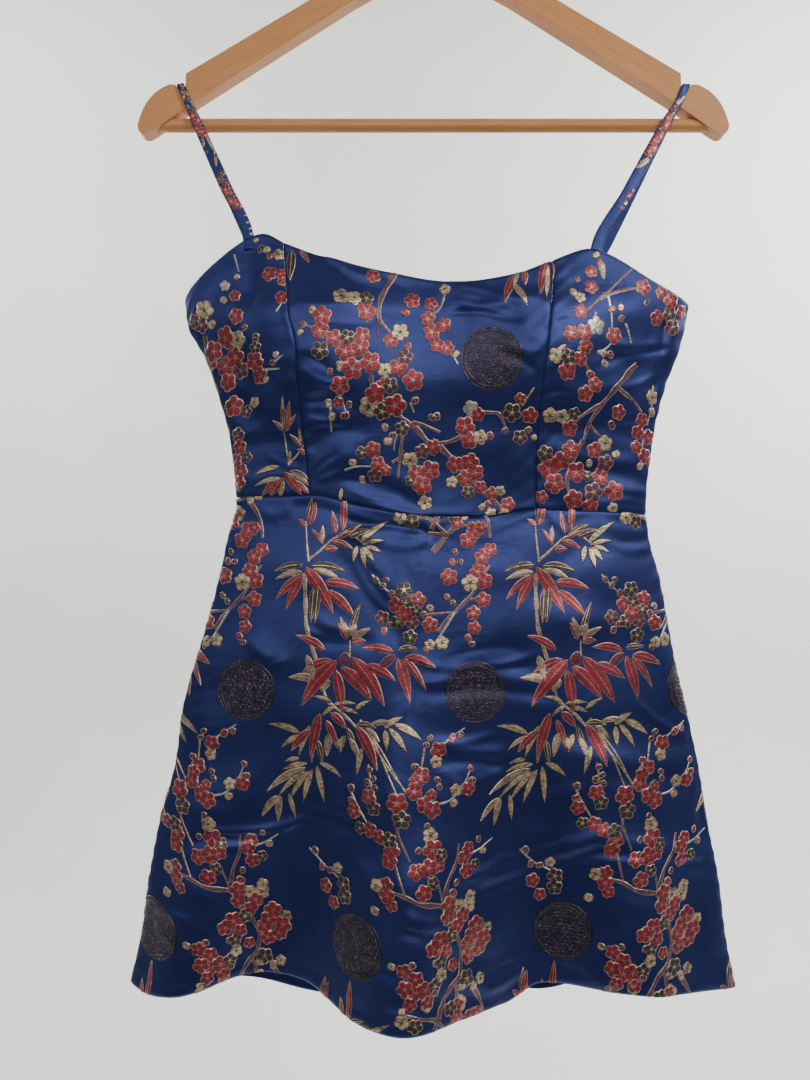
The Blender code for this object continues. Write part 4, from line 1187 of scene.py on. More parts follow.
# %% One repeat: bamboo leaves as stalk, tip, width, kind
LEAVES = (
    (307, 527, 298, 519, 5), (310, 525, 316, 502, 8), (308, 520, 312, 498, 6, "d"),
    (323, 545, 312, 529, 5), (322, 542, 323, 526, 5, "b"), (336, 534, 332, 511, 6),
    (343, 530, 345, 491, 7), (338, 538, 356, 530, 6), (325, 550, 338, 549, 7), (332, 541, 353, 549, 6),
    (360, 543, 389, 521, 7, "g"), (362, 545, 386, 541, 5, "g"), (363, 547, 374, 562, 6, "g"),
    (361, 548, 366, 569, 6, "g"), (357, 546, 353, 563, 6, "g"), (365, 546, 382, 553, 5, "g"),
    (350, 537, 371, 530, 7, "d"), (340, 536, 362, 524, 6, "d"), (304, 565, 275, 571, 7, "d"),
    (303, 572, 276, 579, 6, "b"), (303, 575, 276, 599, 8), (303, 576, 286, 609, 9),
    (306, 567, 333, 614, 13), (312, 566, 345, 571, 8, "d"), (314, 569, 339, 579, 6, "b"),
    (325, 582, 359, 589, 9), (326, 590, 355, 618, 10), (314, 588, 311, 623, 7, "d"),
    (319, 585, 315, 623, 7, "d"), (348, 638, 340, 617, 6, "b"), (350, 635, 361, 602, 6, "d"),
    (347, 640, 338, 623, 6), (352, 640, 371, 628, 6, "b"), (352, 643, 366, 641, 6),
    (350, 636, 356, 624, 9, "b"), (394, 652, 362, 648, 8), (396, 655, 377, 673, 9, "p"),
    (398, 658, 410, 703, 11), (404, 658, 426, 691, 7), (405, 657, 436, 668, 9),
    (398, 650, 418, 649, 6, "d"), (332, 660, 302, 673, 9), (325, 650, 296, 635, 8),
    (337, 660, 301, 706, 14), (336, 670, 343, 713, 11), (341, 667, 372, 701, 13),
    (352, 657, 385, 706, 14), (365, 665, 396, 681, 10), (351, 660, 338, 660, 14, "p"),
    (307, 655, 314, 681, 7, "b"), (318, 681, 289, 677, 8, "b"), (330, 680, 321, 691, 7, "b"),
    (300, 733, 268, 724, 7, "g"), (300, 735, 281, 748, 6, "g"), (310, 730, 291, 751, 8),
    (320, 713, 311, 759, 10), (310, 725, 299, 756, 7, "g"), (327, 720, 338, 749, 7),
    (331, 712, 347, 729, 8), (330, 733, 327, 756, 7, "b"), (345, 735, 340, 753, 7, "g"),
    (348, 728, 356, 756, 6, "d"), (356, 725, 377, 728, 6, "d"), (357, 726, 378, 771, 11),
    (362, 748, 357, 776, 7, "g"), (385, 728, 403, 717, 7, "g"), (386, 730, 388, 751, 7, "g"),
    (390, 728, 407, 753, 7, "g"), (395, 724, 422, 741, 8, "g"), (318, 740, 323, 763, 6, "d"),
    (300, 758, 284, 762, 5, "g"), (308, 763, 282, 770, 6, "g"), (306, 767, 267, 791, 7, "b"),
    (307, 770, 278, 796, 6, "g"), (310, 770, 290, 799, 6, "g"), (313, 768, 304, 802, 7, "g"),
    (317, 765, 325, 803, 7, "g"), (320, 762, 341, 777, 6, "g"), (332, 702, 312, 696, 5, "g"),
    (334, 704, 357, 704, 5, "g"), (335, 706, 322, 716, 5, "g"), (340, 708, 358, 714, 5, "g"),
    (355, 710, 372, 700, 5, "g"), (338, 738, 342, 752, 6, "g"), (350, 738, 360, 762, 6, "b"),
    (366, 728, 380, 742, 5, "b"), (372, 724, 396, 724, 5, "b"), (278, 795, 262, 816, 6, "b"),
    (280, 795, 278, 821, 6, "b"), (289, 792, 296, 818, 6, "g"),
)
# Medallions as x, y, and whether they are lit, which gives them a painted glint
MEDALLIONS = ((475, 692, True), (563, 930, True))
print(len(BRANCHES), "branches and", len(LEAVES), "leaves in a repeat")

# %% Chart the repeat
REPEAT_ACROSS, REPEAT_UP = 166.0, 343.0


def chart_repeat():
    chart = Chart()
    for x, y, lit in MEDALLIONS:
        add_medallion(chart, x, y, lit)
    add_branches(chart, BRANCHES)
    add_leaves(chart, LEAVES)
    for spray in (SPRAY_ABOVE, DARK_CLUSTER, SPRAY_BELOW_TOP, SPRAY_BELOW_MIDDLE, SPRAY_BELOW_FOOT):
        add_blossoms(chart, spray)
    return chart


repeat = chart_repeat()
print(repeat.marks, "marks with", repeat.corners, "corners in a repeat")

# %% [markdown]
# ## The bodice's charts
# The three front panels of the bodice are cut from other stretches of the same cloth, so their
# sprays are charted on their own.

# %% The centre front: blossoms, branches, leaves
CENTRE_BLOSSOMS = (
    (341, 298, 13, "b"), (354, 300, 12, "b"), (366, 300, 12, "d"), (366, 312, 15), (312, 310, 7, "b"),
    (322, 316, 15), (320, 330, 14), (334, 338, 14), (347, 337, 12, "d"), (320, 350, 14, "d"),
    (362, 335, 13), (345, 351, 16), (360, 347, 15), (352, 368, 17), (370, 362, 17), (342, 365, 10, "b"),
    (385, 370, 12, "b"), (340, 385, 15), (330, 371, 6), (338, 402, 9), (328, 403, 7, "b"),
    (349, 404, 6, "d"), (332, 416, 7, "b"), (345, 415, 8, "p"), (375, 393, 16), (383, 385, 12),
    (390, 385, 13, "d"), (369, 406, 16, "b"), (382, 411, 14, "d"), (395, 405, 18), (391, 340, 13),
    (400, 332, 14, "b"), (398, 367, 15), (405, 357, 13, "p"), (413, 380, 17), (408, 346, 7),
    (415, 400, 7, "p"), (373, 277, 12), (412, 302, 13), (405, 313, 8), (431, 305, 11), (428, 319, 12),
    (432, 332, 14), (437, 345, 12), (444, 325, 12), (447, 348, 12), (445, 290, 9, "b"),
    (456, 354, 7, "b"), (303, 324, 6), (300, 332, 6, "b"), (385, 427, 7, "b"), (393, 435, 7, "p"),
    (388, 441, 8, "b"), (402, 428, 12, "d"), (373, 449, 13), (362, 452, 10, "d"), (378, 463, 12),
    (353, 462, 7, "b"), (386, 470, 9), (362, 480, 7, "b"), (375, 475, 12, "p"), (410, 460, 13, "b"),
    (416, 472, 13), (430, 470, 16), (422, 485, 16), (411, 480, 10, "d"), (433, 447, 13),
    (422, 451, 12, "p"), (425, 503, 12, "b"), (432, 417, 7, "d"), (437, 416, 7, "d"), (471, 408, 12, "w"),
    (478, 414, 11), (512, 412, 15, "d"), (530, 415, 13), (520, 398, 9), (520, 437, 12, "d"),
    (505, 430, 6, "p"), (528, 430, 7), (534, 437, 6, "b"), (465, 426, 16), (469, 440, 14),
    (480, 437, 12, "b"), (490, 435, 7), (455, 464, 14), (470, 462, 15), (475, 472, 14), (465, 478, 14),
    (452, 482, 10, "b"), (468, 492, 11, "d"), (480, 487, 11), (492, 493, 11), (500, 491, 9, "b"),
    (508, 504, 12), (504, 513, 9, "b"), (488, 504, 7), (482, 507, 7, "b"), (491, 513, 9, "b"),
)
CENTRE_BRANCHES = (
    (6, "m", (395, 272), (380, 300), (378, 320), (390, 332)), (4, "m", (378, 310), (366, 322)),
    (5, "m", (370, 375), (375, 395), (400, 416), (412, 424)), (4, "k", (378, 318), (378, 338)),
    (6, "m", (405, 420), (420, 432), (430, 445), (455, 440), (468, 430)),
    (6, "m", (432, 440), (450, 456), (465, 470), (480, 490), (505, 512)),
    (4, "m", (412, 422), (428, 426), (440, 432)), (4, "m", (404, 425), (401, 448), (398, 478)),
    (4, "m", (480, 412), (500, 412), (506, 428)), (3, "m", (392, 462), (400, 458), (404, 450)),
    (2, "w", (345, 470), (355, 466), (372, 466)), (2, "w", (445, 350), (452, 353), (458, 364)),
    (2, "g", (522, 405), (528, 396), (534, 387)), (2, "g", (300, 322), (312, 327)),
    (2, "w", (338, 392), (343, 404), (347, 414)), (2, "g", (330, 404), (331, 420), (331, 432)),
    (3, "m", (428, 318), (440, 310), (446, 292)), (2, "w", (398, 432), (394, 442), (394, 450)),
    (2, "g", (410, 402), (414, 412)), (3, "m", (492, 498), (500, 505), (508, 520)),
)
CENTRE_LEAVES = (
    (514, 275, 505, 304, 8), (514, 284, 527, 306, 6, "b"), (525, 272, 525, 286, 6),
    (545, 263, 540, 296, 8), (548, 267, 546, 302, 6, "g"), (292, 250, 290, 281, 9, "d"),
    (300, 250, 309, 263, 5), (519, 270, 513, 290, 5, "g"), (342, 488, 340, 502, 5, "g"),
)
# %% The right side front
SIDE_BLOSSOMS = (
    (596, 255, 7, "b"), (600, 262, 7), (591, 272, 11), (591, 288, 12), (577, 280, 6, "p"),
    (573, 293, 8, "b"), (580, 298, 9, "b"), (581, 311, 12), (571, 333, 13), (584, 332, 14),
    (586, 346, 12), (596, 325, 15, "w"), (614, 335, 14), (556, 355, 12, "b"), (568, 356, 12, "d"),
    (580, 358, 12), (567, 370, 15), (590, 374, 8), (594, 384, 12), (584, 393, 13), (604, 353, 7, "b"),
    (611, 354, 7), (605, 363, 7, "b"), (612, 309, 7), (620, 308, 7, "b"), (621, 318, 6, "p"),
    (642, 288, 14), (660, 293, 11), (670, 301, 14), (681, 312, 12), (656, 318, 13), (669, 314, 13, "d"),
    (672, 327, 13, "p"), (645, 303, 6, "p"), (652, 397, 12, "b"), (652, 412, 8, "b"), (618, 412, 13),
    (612, 425, 8, "d"), (550, 415, 12, "b"), (562, 416, 11, "b"), (574, 413, 10, "d"), (570, 428, 13),
    (642, 420, 12), (638, 432, 12), (648, 437, 13), (636, 447, 11), (644, 456, 13), (650, 462, 10),
    (639, 466, 7, "b"), (605, 443, 13, "b"), (594, 450, 13), (616, 454, 8, "b"), (589, 463, 7, "b"),
    (545, 453, 13, "d"), (570, 449, 15), (548, 468, 17), (560, 461, 16), (576, 472, 17), (554, 483, 17),
    (605, 463, 14, "p"), (600, 477, 15), (613, 491, 17), (587, 476, 9, "d"), (593, 492, 16, "p"),
    (573, 499, 16), (590, 506, 14), (541, 497, 11), (612, 508, 9, "b"),
)
SIDE_BRANCHES = (
    (4, "m", (605, 295), (595, 303), (583, 315)), (5, "m", (603, 296), (625, 290), (641, 288)),
    (2.5, "m", (607, 293), (620, 280), (633, 268)), (4, "m", (597, 312), (590, 330), (578, 350)),
    (6, "m", (637, 364), (615, 386), (600, 405), (590, 420), (583, 442)),
    (4, "m", (617, 388), (633, 400), (641, 412)), (4, "m", (600, 404), (585, 412), (572, 424)),
    (2.5, "w", (608, 297), (612, 312), (613, 332)), (2, "g", (625, 323), (629, 334), (630, 343)),
    (5, "m", (583, 440), (574, 455), (566, 478), (570, 505)), (3, "m", (590, 425), (604, 440)),
    (2.5, "w", (598, 352), (606, 350), (612, 342)), (3, "m", (640, 412), (644, 440), (640, 462)),
    (3, "m", (583, 360), (590, 372), (588, 388)), (2, "g", (655, 385), (653, 400), (648, 425)),
)
SIDE_LEAVES = ((600, 258, 604, 280, 7, "b"), (566, 345, 556, 352, 5, "g"), (552, 262, 549, 290, 7, "r"))
# %% The left side front
LEFT_BLOSSOMS = (
    (253, 234, 4, "w"), (256, 240, 5, "b"), (261, 249, 8, "d"), (267, 250, 7, "b"), (270, 257, 6),
    (279, 255, 10, "b"), (270, 275, 13), (281, 275, 10), (282, 283, 8), (282, 298, 11),
    (225, 286, 9, "w"), (224, 300, 7, "w"), (235, 296, 10), (237, 277, 6, "b"), (237, 316, 13),
    (245, 327, 6, "d"), (205, 310, 16, "b"), (212, 324, 8, "b"), (202, 325, 13, "p"), (195, 321, 12, "p"),
    (227, 337, 18), (239, 339, 14, "b"), (256, 337, 8, "d"), (256, 347, 10, "d"), (215, 351, 17),
    (214, 362, 12), (227, 366, 16), (237, 357, 17), (242, 370, 14, "p"), (229, 382, 15), (255, 361, 16),
    (260, 375, 14), (266, 379, 6, "b"), (273, 362, 6), (276, 354, 6, "w"), (234, 406, 17),
    (247, 411, 10, "d"), (255, 402, 9, "b"), (239, 435, 13, "p"), (240, 447, 13), (248, 457, 9, "d"),
    (237, 461, 12), (242, 471, 13), (241, 482, 12), (240, 487, 8, "w"),
)
LEFT_BRANCHES = (
    (5, "m", (205, 335), (211, 372), (217, 395), (225, 422), (231, 437)),
    (2, "w", (234, 254), (237, 264), (239, 272)), (2, "w", (266, 369), (280, 368)),
    (2, "w", (276, 360), (284, 354)), (2, "w", (276, 311), (282, 303)),
    (1.5, "g", (289, 465), (286, 447), (284, 430)), (1.5, "g", (289, 464), (297, 455), (304, 445)),
)
LEFT_LEAVES = (
    (284, 429, 283, 395, 4, "d"), (287, 427, 290, 400, 5), (286, 431, 296, 414, 4),
    (284, 430, 274, 420, 4, "d"), (300, 446, 290, 434, 4), (301, 447, 299, 427, 4, "g"),
    (306, 454, 297, 449, 4), (289, 462, 290, 451, 4, "d"), (280, 466, 256, 475, 6, "g"),
    (282, 478, 256, 486, 6, "g"), (284, 478, 262, 496, 8), (284, 478, 270, 497, 7),
    (284, 472, 302, 496, 9), (290, 471, 310, 480, 6, "d"), (288, 474, 310, 485, 6, "b"),
    (283, 480, 280, 497, 6, "b"), (290, 480, 310, 494, 6),
)
CENTRE_MEDALLION = (492, 358)
BODICE_BLOSSOMS = (CENTRE_BLOSSOMS, SIDE_BLOSSOMS, LEFT_BLOSSOMS)
print(sum(map(len, BODICE_BLOSSOMS)), "more blossoms on the bodice")


# %% Chart the bodice's own sprays
def chart_spray(blossoms, branches, leaves, medallion=None):
    chart = Chart()
    if medallion:
        add_medallion(chart, *medallion, False)
    add_branches(chart, branches)
    add_leaves(chart, leaves)
    add_blossoms(chart, blossoms)
    return chart


centre_spray = chart_spray(CENTRE_BLOSSOMS, CENTRE_BRANCHES, CENTRE_LEAVES, CENTRE_MEDALLION)
side_spray = chart_spray(SIDE_BLOSSOMS, SIDE_BRANCHES, SIDE_LEAVES)
left_spray = chart_spray(LEFT_BLOSSOMS, LEFT_BRANCHES, LEFT_LEAVES)
print(centre_spray.marks + side_spray.marks + left_spray.marks, "marks")

# %% [markdown]
# ## Laying the pattern on the cloth
# Every corner of every mark now knows its place along the cloth. It is looked up on the panel's own
# grid, creases included, and set a few tenths of a millimetre above it. Marks are cut off at the
# panel's edges, as the cutter's shears do.


# %% Weave a chart into a panel
def grid_lookup(grid, row, column):
    """Reads a grid of points between its corners."""
    i = np.minimum(row.astype(int), grid.shape[0] - 2)
    j = np.minimum(column.astype(int), grid.shape[1] - 2)
    r, c = (row - i)[:, None], (column - j)[:, None]
    upper = grid[i, j] * (1 - c) + grid[i, j + 1] * c
    lower = grid[i + 1, j] * (1 - c) + grid[i + 1, j + 1] * c
    return upper * (1 - r) + lower * r


def panel_fractions(name, places):
    """Where places along the cloth are on a panel, from 0 to 1 across it and down it."""
    panel, height = PANELS[name], places[:, 1]
    share = share_at(panel.side, places[:, 0], height)
    left, right = panel.left(height), panel.right(height)
    high, low = on_curve(panel.top, 1, share), on_curve(panel.bottom, 1, share)
    return (share - left) / (right - left), (high - height) / (high - low)


def cut_to_panel(name, chart, shift, fractions):
    """A chart's marks moved by a shift and cut to a panel: rows, columns, places, lifts, faces, threads."""
    places, lifts, faces, threads = chart.arrays()
    places = places + np.array(shift)
    u, v = fractions(name, places)
    inside = (u > 0) & (u < 1) & (v > 0) & (v < 1)
    kept = np.append(inside, False)[faces].any(1)
    faces, threads = faces[kept], threads[kept]
    used = np.unique(faces[faces >= 0])
    number = np.full(len(places) + 1, -1)
    number[used] = np.arange(len(used))
    cells_down, cells_across = (n - 1 for n in laid[name][0].shape[:2])
    side, crowd = (PANELS[name].side, PANELS[name].crowd) if name in PANELS else ("front", lambda u: u)
    steps = np.linspace(0, 1, cells_across + 1)
    u, v = np.clip(u[used], 0, 1), np.clip(v[used], 0, 1)
    column = np.interp(u if side == "front" else 1 - u, crowd(steps), steps) * cells_across
    return v * cells_down, column, places[used], lifts[used], number[faces], threads


def weave(name, cuts, fractions=panel_fractions):
    """One mesh of all the marks on a panel."""
    chosen = [cut_to_panel(name, chart, shift, fractions) for chart, shift in cuts]
    chosen = [cut for cut in chosen if len(cut[4])]
    starts = np.cumsum([0] + [len(cut[0]) for cut in chosen])
    row, column, places, lifts = (np.concatenate([cut[k] for cut in chosen]) for k in range(4))
    faces = np.concatenate([np.where(c[4] < 0, -1, c[4] + s) for c, s in zip(chosen, starts)])
    threads = np.concatenate([cut[5] for cut in chosen])
    points, outs = laid[name]
    spots = grid_lookup(points, row, column) + grid_lookup(outs, row, column) * lifts[:, None]
    rings = [[i for i in face if i >= 0] for face in faces.tolist()]
    obj = add_mesh(name + "_pattern", spots, rings, THREADS)
    obj.data.polygons.foreach_set("material_index", threads.astype(np.int32))
    add_cloth_uv(obj.data, places * MM)
    obj.data.shade_smooth()
    return obj


def repeats(shift_across, shift_up):
    """The skirt's chart at every repeat that can reach a panel, moved by a shift."""
    return [
        (repeat, (shift_across + i * REPEAT_ACROSS, shift_up + j * REPEAT_UP))
        for i in range(-3, 4)
        for j in (-1, 0, 1, 2)
    ]


CHARTS = {
    "skirt_front": repeats(0.0, 0.0),
    "side_front_left": [(left_spray, (0.0, 0.0))],
    "centre_front": [(centre_spray, (0.0, 0.0))],
    "side_front_right": [(side_spray, (0.0, 0.0))],
    "back_left": repeats(35.0, 120.0),
    "back_right": repeats(-52.0, 70.0),
    "skirt_back_left": repeats(60.0, -20.0),
    "skirt_back_right": repeats(22.0, 15.0),
}
patterns = {name: weave(name, cuts) for name, cuts in CHARTS.items()}
print({name: len(obj.data.polygons) for name, obj in patterns.items()})

# %% [markdown]
# ## The straps
# Each strap is a strip of the same cloth, folded in four, stitched along one edge and pressed. It
# runs from inside the front, over the hanger's notch, to inside the back. A flat ribbon would look
# like tape, so here the strip is a closed tube, pressed flat, that turns as the real one does.

# %% The hanger's notch and the straps' ends, in millimetres
HANGER_HALF_THICKNESS, HANGER_EDGE_ROUNDING = 6.4, 1.9
NOTCH_FLOOR, NOTCH_MIDDLE = -179.6, 186.9
STRAP_WIDTH, STRAP_WIDTH_NEAR_NOTCH, STRAP_WIDTH_IN_NOTCH, STRAP_WALL = 8.6, 7.6, 5.7, 1.9
STRAP_TUCK, STRAP_CLEARANCE = 9.0, 0.6
# Front share and height, back share and height
STRAP_ENDS = {
    "strap_left": (-1, -0.75, -294.8, -0.645, -331.6),
    "strap_right": (1, 0.62, -304.9, 0.585, -331.6),
}
FORWARD, UP, BACKWARD = np.array([0, -1, 0]), np.array([0, 0, 1]), np.array([0, 1, 0])


def strap_end(side, share, height):
    """Where a strap lies inside the dress, and which way its outer face looks there."""
    at = lambda s, h: on_dress(side, np.array([s]), np.array([h]))[0]
    across = at(share + 0.01, height) - at(share - 0.01, height)
    up = at(share, height + 1) - at(share, height - 1)
    looks = np.cross(across, up) * (1 if side == "front" else -1)
    looks = looks / np.linalg.norm(looks)
    return at(share, height) - looks * (STRAP_WALL + 0.4), looks


def strap_rows(name):
    """The strap's middle line: place, width and the way its outer face looks."""
    sign, front_share, front_height, back_share, back_height = STRAP_ENDS[name]
    low, low_looks = strap_end("front", front_share * 0.99, front_height - STRAP_TUCK)
    edge, edge_looks = strap_end("front", front_share, front_height)
    back_low, back_low_looks = strap_end("back", back_share * 0.99, back_height - STRAP_TUCK)
    back_edge, back_looks = strap_end("back", back_share, back_height)
    x, lean, turn = sign * NOTCH_MIDDLE, sign * 4.0, HANGER_EDGE_ROUNDING
    y, floor = HANGER_HALF_THICKNESS + STRAP_CLEARANCE, NOTCH_FLOOR + STRAP_CLEARANCE
    narrow = STRAP_WIDTH_IN_NOTCH

    def rising(start, share, y):
        eased_share = float(eased(share * 1.2))
        return np.array([
            start[0] + (x - start[0]) * share,
            start[1] + (y - start[1]) * eased_share,
            start[2] + (floor - start[2]) * share,
        ])

    return (
        (low, STRAP_WIDTH, low_looks), (edge, STRAP_WIDTH, edge_looks),
        (rising(edge, 0.35, -y), STRAP_WIDTH, FORWARD),
        (rising(edge, 0.75, -y), STRAP_WIDTH_NEAR_NOTCH, FORWARD),
        ((x - lean, -y, floor - 9.0), narrow, FORWARD),
        ((x - lean * 0.3, -y, floor - turn), narrow, FORWARD),
        ((x, -y + turn * 0.3, floor - turn * 0.3), narrow, FORWARD + UP),
        ((x, -y + turn, floor), narrow, UP), ((x, y - turn, floor), narrow, UP),
        ((x, y - turn * 0.3, floor - turn * 0.3), narrow, UP + BACKWARD),
        ((x - lean * 0.3, y, floor - turn), narrow, BACKWARD),
        ((x - lean, y, floor - 9.0), narrow, BACKWARD),
        (rising(back_edge, 0.7, y), STRAP_WIDTH_NEAR_NOTCH, BACKWARD),
        (rising(back_edge, 0.3, y), STRAP_WIDTH, BACKWARD),
        (back_edge, STRAP_WIDTH, back_looks), (back_low, STRAP_WIDTH, back_low_looks),
    )


print("straps from", STRAP_ENDS["strap_left"][2], "mm to the back at", STRAP_ENDS["strap_left"][4], "mm")

# %% Sweep a strap's flattened section along its line
STRAP_STATIONS, STRAP_AROUND = 150, 20
CHARTED_LINES, CHARTED_SHARE = 9, 0.93  # the flat of a strap's outer face, where its pattern lies
STITCH_LINE, STITCH_DENT, STITCH_DENT_WIDTH = 0.62, 0.22, 0.12


def strap_line(name):
    """Stations along a strap: distance, middle, width, and the directions across and out."""
    rows = strap_rows(name)
    places = np.array([row[0] for row in rows], float)
    distance = np.concatenate([[0], np.cumsum(np.linalg.norm(np.diff(places, axis=0), axis=1))])
    looks = np.array([row[2] / np.linalg.norm(row[2]) for row in rows])
    turned = np.arccos(np.clip((looks[1:] * looks[:-1]).sum(1), -1, 1)) / math.pi
    share = np.concatenate([[0], np.cumsum(np.diff(distance) / distance[-1] + turned * 0.3)])
    at = np.interp(np.linspace(0, share[-1], STRAP_STATIONS + 1), share, distance)
    table = [(d, *p, row[1], *l) for d, p, row, l in zip(distance, places, rows, looks)]
    column = lambda k, where: on_curve(table, k, where)
    middle = np.stack([column(k, at) for k in (1, 2, 3)], -1)
    ahead = np.stack([column(k, np.minimum(at + 0.4, distance[-1])) for k in (1, 2, 3)], -1)
    behind = np.stack([column(k, np.maximum(at - 0.4, 0)) for k in (1, 2, 3)], -1)
    along = (ahead - behind) / np.linalg.norm(ahead - behind, axis=1, keepdims=True)
    out = np.stack([column(k, at) for k in (5, 6, 7)], -1)
    across = np.cross(along, out)
    across /= np.linalg.norm(across, axis=1, keepdims=True)
    out = np.cross(across, along)
    return at, middle, column(4, at), across, out


def strap_face(at, u):
    """How thick the strap's outer half is: full in the middle, dented along its stitched edge."""
    round_off = (1 - np.abs(u) ** 4) ** 0.5
    stitch_dent = STITCH_DENT * np.exp(-(((u - STITCH_LINE) / STITCH_DENT_WIDTH) ** 2))
    ripple = 0.16 * np.sin(at / 2.9 + 3 * u + 1.5 * np.sin(at / 11.0))
    return (STRAP_WALL / 2 + ripple * 0.7) * round_off - stitch_dent * round_off


def make_strap(name):
    at, middle, width, across, out = strap_line(name)
    clear_selection()
    bpy.ops.mesh.primitive_grid_add(x_subdivisions=STRAP_AROUND, y_subdivisions=STRAP_STATIONS, size=2)
    obj = bpy.context.object
    flat = np.array([v.co[:2] for v in obj.data.vertices])
    around = np.rint((flat[:, 0] + 1) / 2 * STRAP_AROUND) / STRAP_AROUND * 2 * math.pi
    station = np.rint((flat[:, 1] + 1) / 2 * STRAP_STATIONS).astype(int)
    u = np.sign(np.cos(around)) * np.abs(np.cos(around)) ** 0.7
    face = strap_face(at[station], u)
    lift = STRAP_WALL / 2 + np.where(np.sin(around) >= 0, 1, -1) * face
    spots = middle[station] + across[station] * (u * width[station] / 2)[:, None]
    spots = spots + out[station] * lift[:, None]
    obj.data.vertices.foreach_set("co", (spots * MM).ravel())
    add_cloth_uv(obj.data, np.stack([u * width[station] / 2 + 60, at[station]], -1) * MM)
    choose(obj)
    bpy.ops.object.mode_set(mode="EDIT")
    bpy.ops.mesh.select_all(action="SELECT")
    bpy.ops.mesh.remove_doubles(threshold=0.00002)
    bpy.ops.mesh.fill_holes(sides=0)
    bpy.ops.mesh.normals_make_consistent(inside=False)
    bpy.ops.object.mode_set(mode="OBJECT")
    finish_mesh(obj, name + "_cloth", [satin])
    obj.data.shade_smooth()
    lines = np.linspace(-CHARTED_SHARE, CHARTED_SHARE, CHARTED_LINES)
    face = strap_face(at[:, None], lines)
    spots = middle[:, None] + across[:, None] * (lines * width[:, None] / 2)[..., None]
    spots = spots + out[:, None] * (STRAP_WALL / 2 + face)[..., None]
    laid[name] = (spots, np.broadcast_to(out[:, None], spots.shape))
    return obj, at, width


straps = {name: make_strap(name) for name in STRAP_ENDS}
print({name: round(float(s[1][-1])) for name, s in straps.items()}, "mm long")

# %% Chart the straps: blossoms as across, along, diameter, kind in mm, from the strap's front end
STRAP_BLOSSOMS = {
    "strap_left": (
        (2.6, 12, 2.6, "w"), (2.9, 16, 2.4, "b"), (2.5, 21, 2.6, "w"), (3.0, 26, 2.2, "b"),
        (1.4, 36, 9.0, "r"), (-1.6, 40, 8.5, "r"), (1.6, 45, 9.0, "p"), (-1.4, 49, 9.0, "r"),
        (1.8, 54, 6.5, "p"), (-1.8, 58, 6.0, "p"), (1.4, 62, 5.5, "d"), (3.2, 76, 3.6, "d"),
        (-2.6, 82, 3.4, "d"), (0.9, 97, 9.0, "r"), (-2.0, 101, 8.5, "r"), (1.6, 106, 9.0, "r"),
        (-1.2, 111, 9.0, "r"), (1.8, 115, 6.0, "p"), (-2.2, 119, 4.5, "d"), (1.4, 124, 5.5, "p"),
        (-1.0, 130, 5.5, "d"), (1.5, 135, 5.0, "r"), (0.8, 186, 7.5, "r"), (-1.6, 192, 7.0, "r"),
        (1.4, 198, 6.5, "p"), (-0.8, 236, 7.5, "r"), (1.8, 242, 6.5, "b"), (-1.6, 248, 7.0, "r"),
        (0.9, 283, 7.0, "p"), (-1.2, 289, 7.0, "r"),
    ),
    "strap_right": (
        (2.4, 47, 4.6, "p"), (2.9, 51, 3.4, "w"), (2.2, 57, 5.6, "r"), (2.9, 62, 4.0, "r"),
        (2.0, 93, 6.5, "d"), (-0.8, 95, 9.0, "r"), (1.8, 100, 8.5, "r"), (-1.4, 105, 9.5, "r"),
        (1.5, 110, 9.5, "r"), (-1.6, 115, 9.0, "p"), (1.4, 120, 9.5, "r"), (-1.2, 125, 9.0, "r"),
        (1.3, 130, 8.0, "p"), (-1.0, 135, 6.5, "p"), (0.5, 196, 7.5, "r"), (-1.6, 202, 7.0, "p"),
        (1.5, 207, 7.0, "r"), (-0.8, 258, 7.5, "r"), (1.8, 264, 6.0, "b"), (-1.0, 305, 7.5, "r"),
        (1.4, 311, 6.0, "r"),
    ),
}
# Leaves as stalk across and along, tip across and along, width, kind
STRAP_LEAVES = {
    "strap_left": (
        (-0.5, 68, 3.8, 84, 2.8, "g"), (3.6, 80, 1.4, 96, 2.8, "b"), (-3.4, 86, -0.8, 95, 2.2, "d"),
        (3.6, 114, 1.6, 130, 2.8, "b"), (-3.6, 122, 1.4, 137, 2.4, "g"), (-2.4, 210, 2.4, 228, 3.4, "g"),
        (2.8, 214, -1.2, 232, 3.0, "r"), (-2.8, 258, 2.2, 276, 3.0, "r"), (2.6, 298, -1.4, 314, 3.2, "g"),
    ),
    "strap_right": (
        (-3.8, 79, 3.2, 92, 3.4, "b"), (-2.8, 84, 3.6, 97, 1.8, "b"), (3.6, 102, -3.4, 106, 1.4, "b"),
        (-3.6, 116, 3.6, 122, 1.2, "b"), (-3.6, 134, 3.2, 147, 3.4, "b"), (3.4, 52, 0.4, 55, 1.0, "b"),
        (-2.6, 214, 2.4, 232, 3.2, "r"), (2.9, 220, -0.8, 238, 2.8, "g"), (-2.4, 276, 2.6, 294, 3.2, "g"),
    ),
}


def chart_strap(name):
    """A strap's own chart, because its strip was cut from another part of the cloth."""
    chart = Chart()
    for number, (x0, y0, x1, y1, width, kind) in enumerate(STRAP_LEAVES[name]):
        length, turn = math.hypot(x1 - x0, y1 - y0), math.atan2(x1 - x0, y1 - y0)
        mark = leaf_mark(length, width, 0.04)
        chart.add(mark, LEAF_THREADS[kind], (x0, y0), 1.0, turn, 0.2 + 0.05 * (number % 4))
    for number, (x, along, across, kind) in enumerate(STRAP_BLOSSOMS[name]):
        mark, turn = BLOSSOM if across > 5 else BUD, marks_random.uniform(0, FULL_TURN)
        chart.add(mark, BLOSSOM_THREADS[kind], (x, along), across / 2, turn, 0.36 + 0.06 * (number % 4))
    return chart


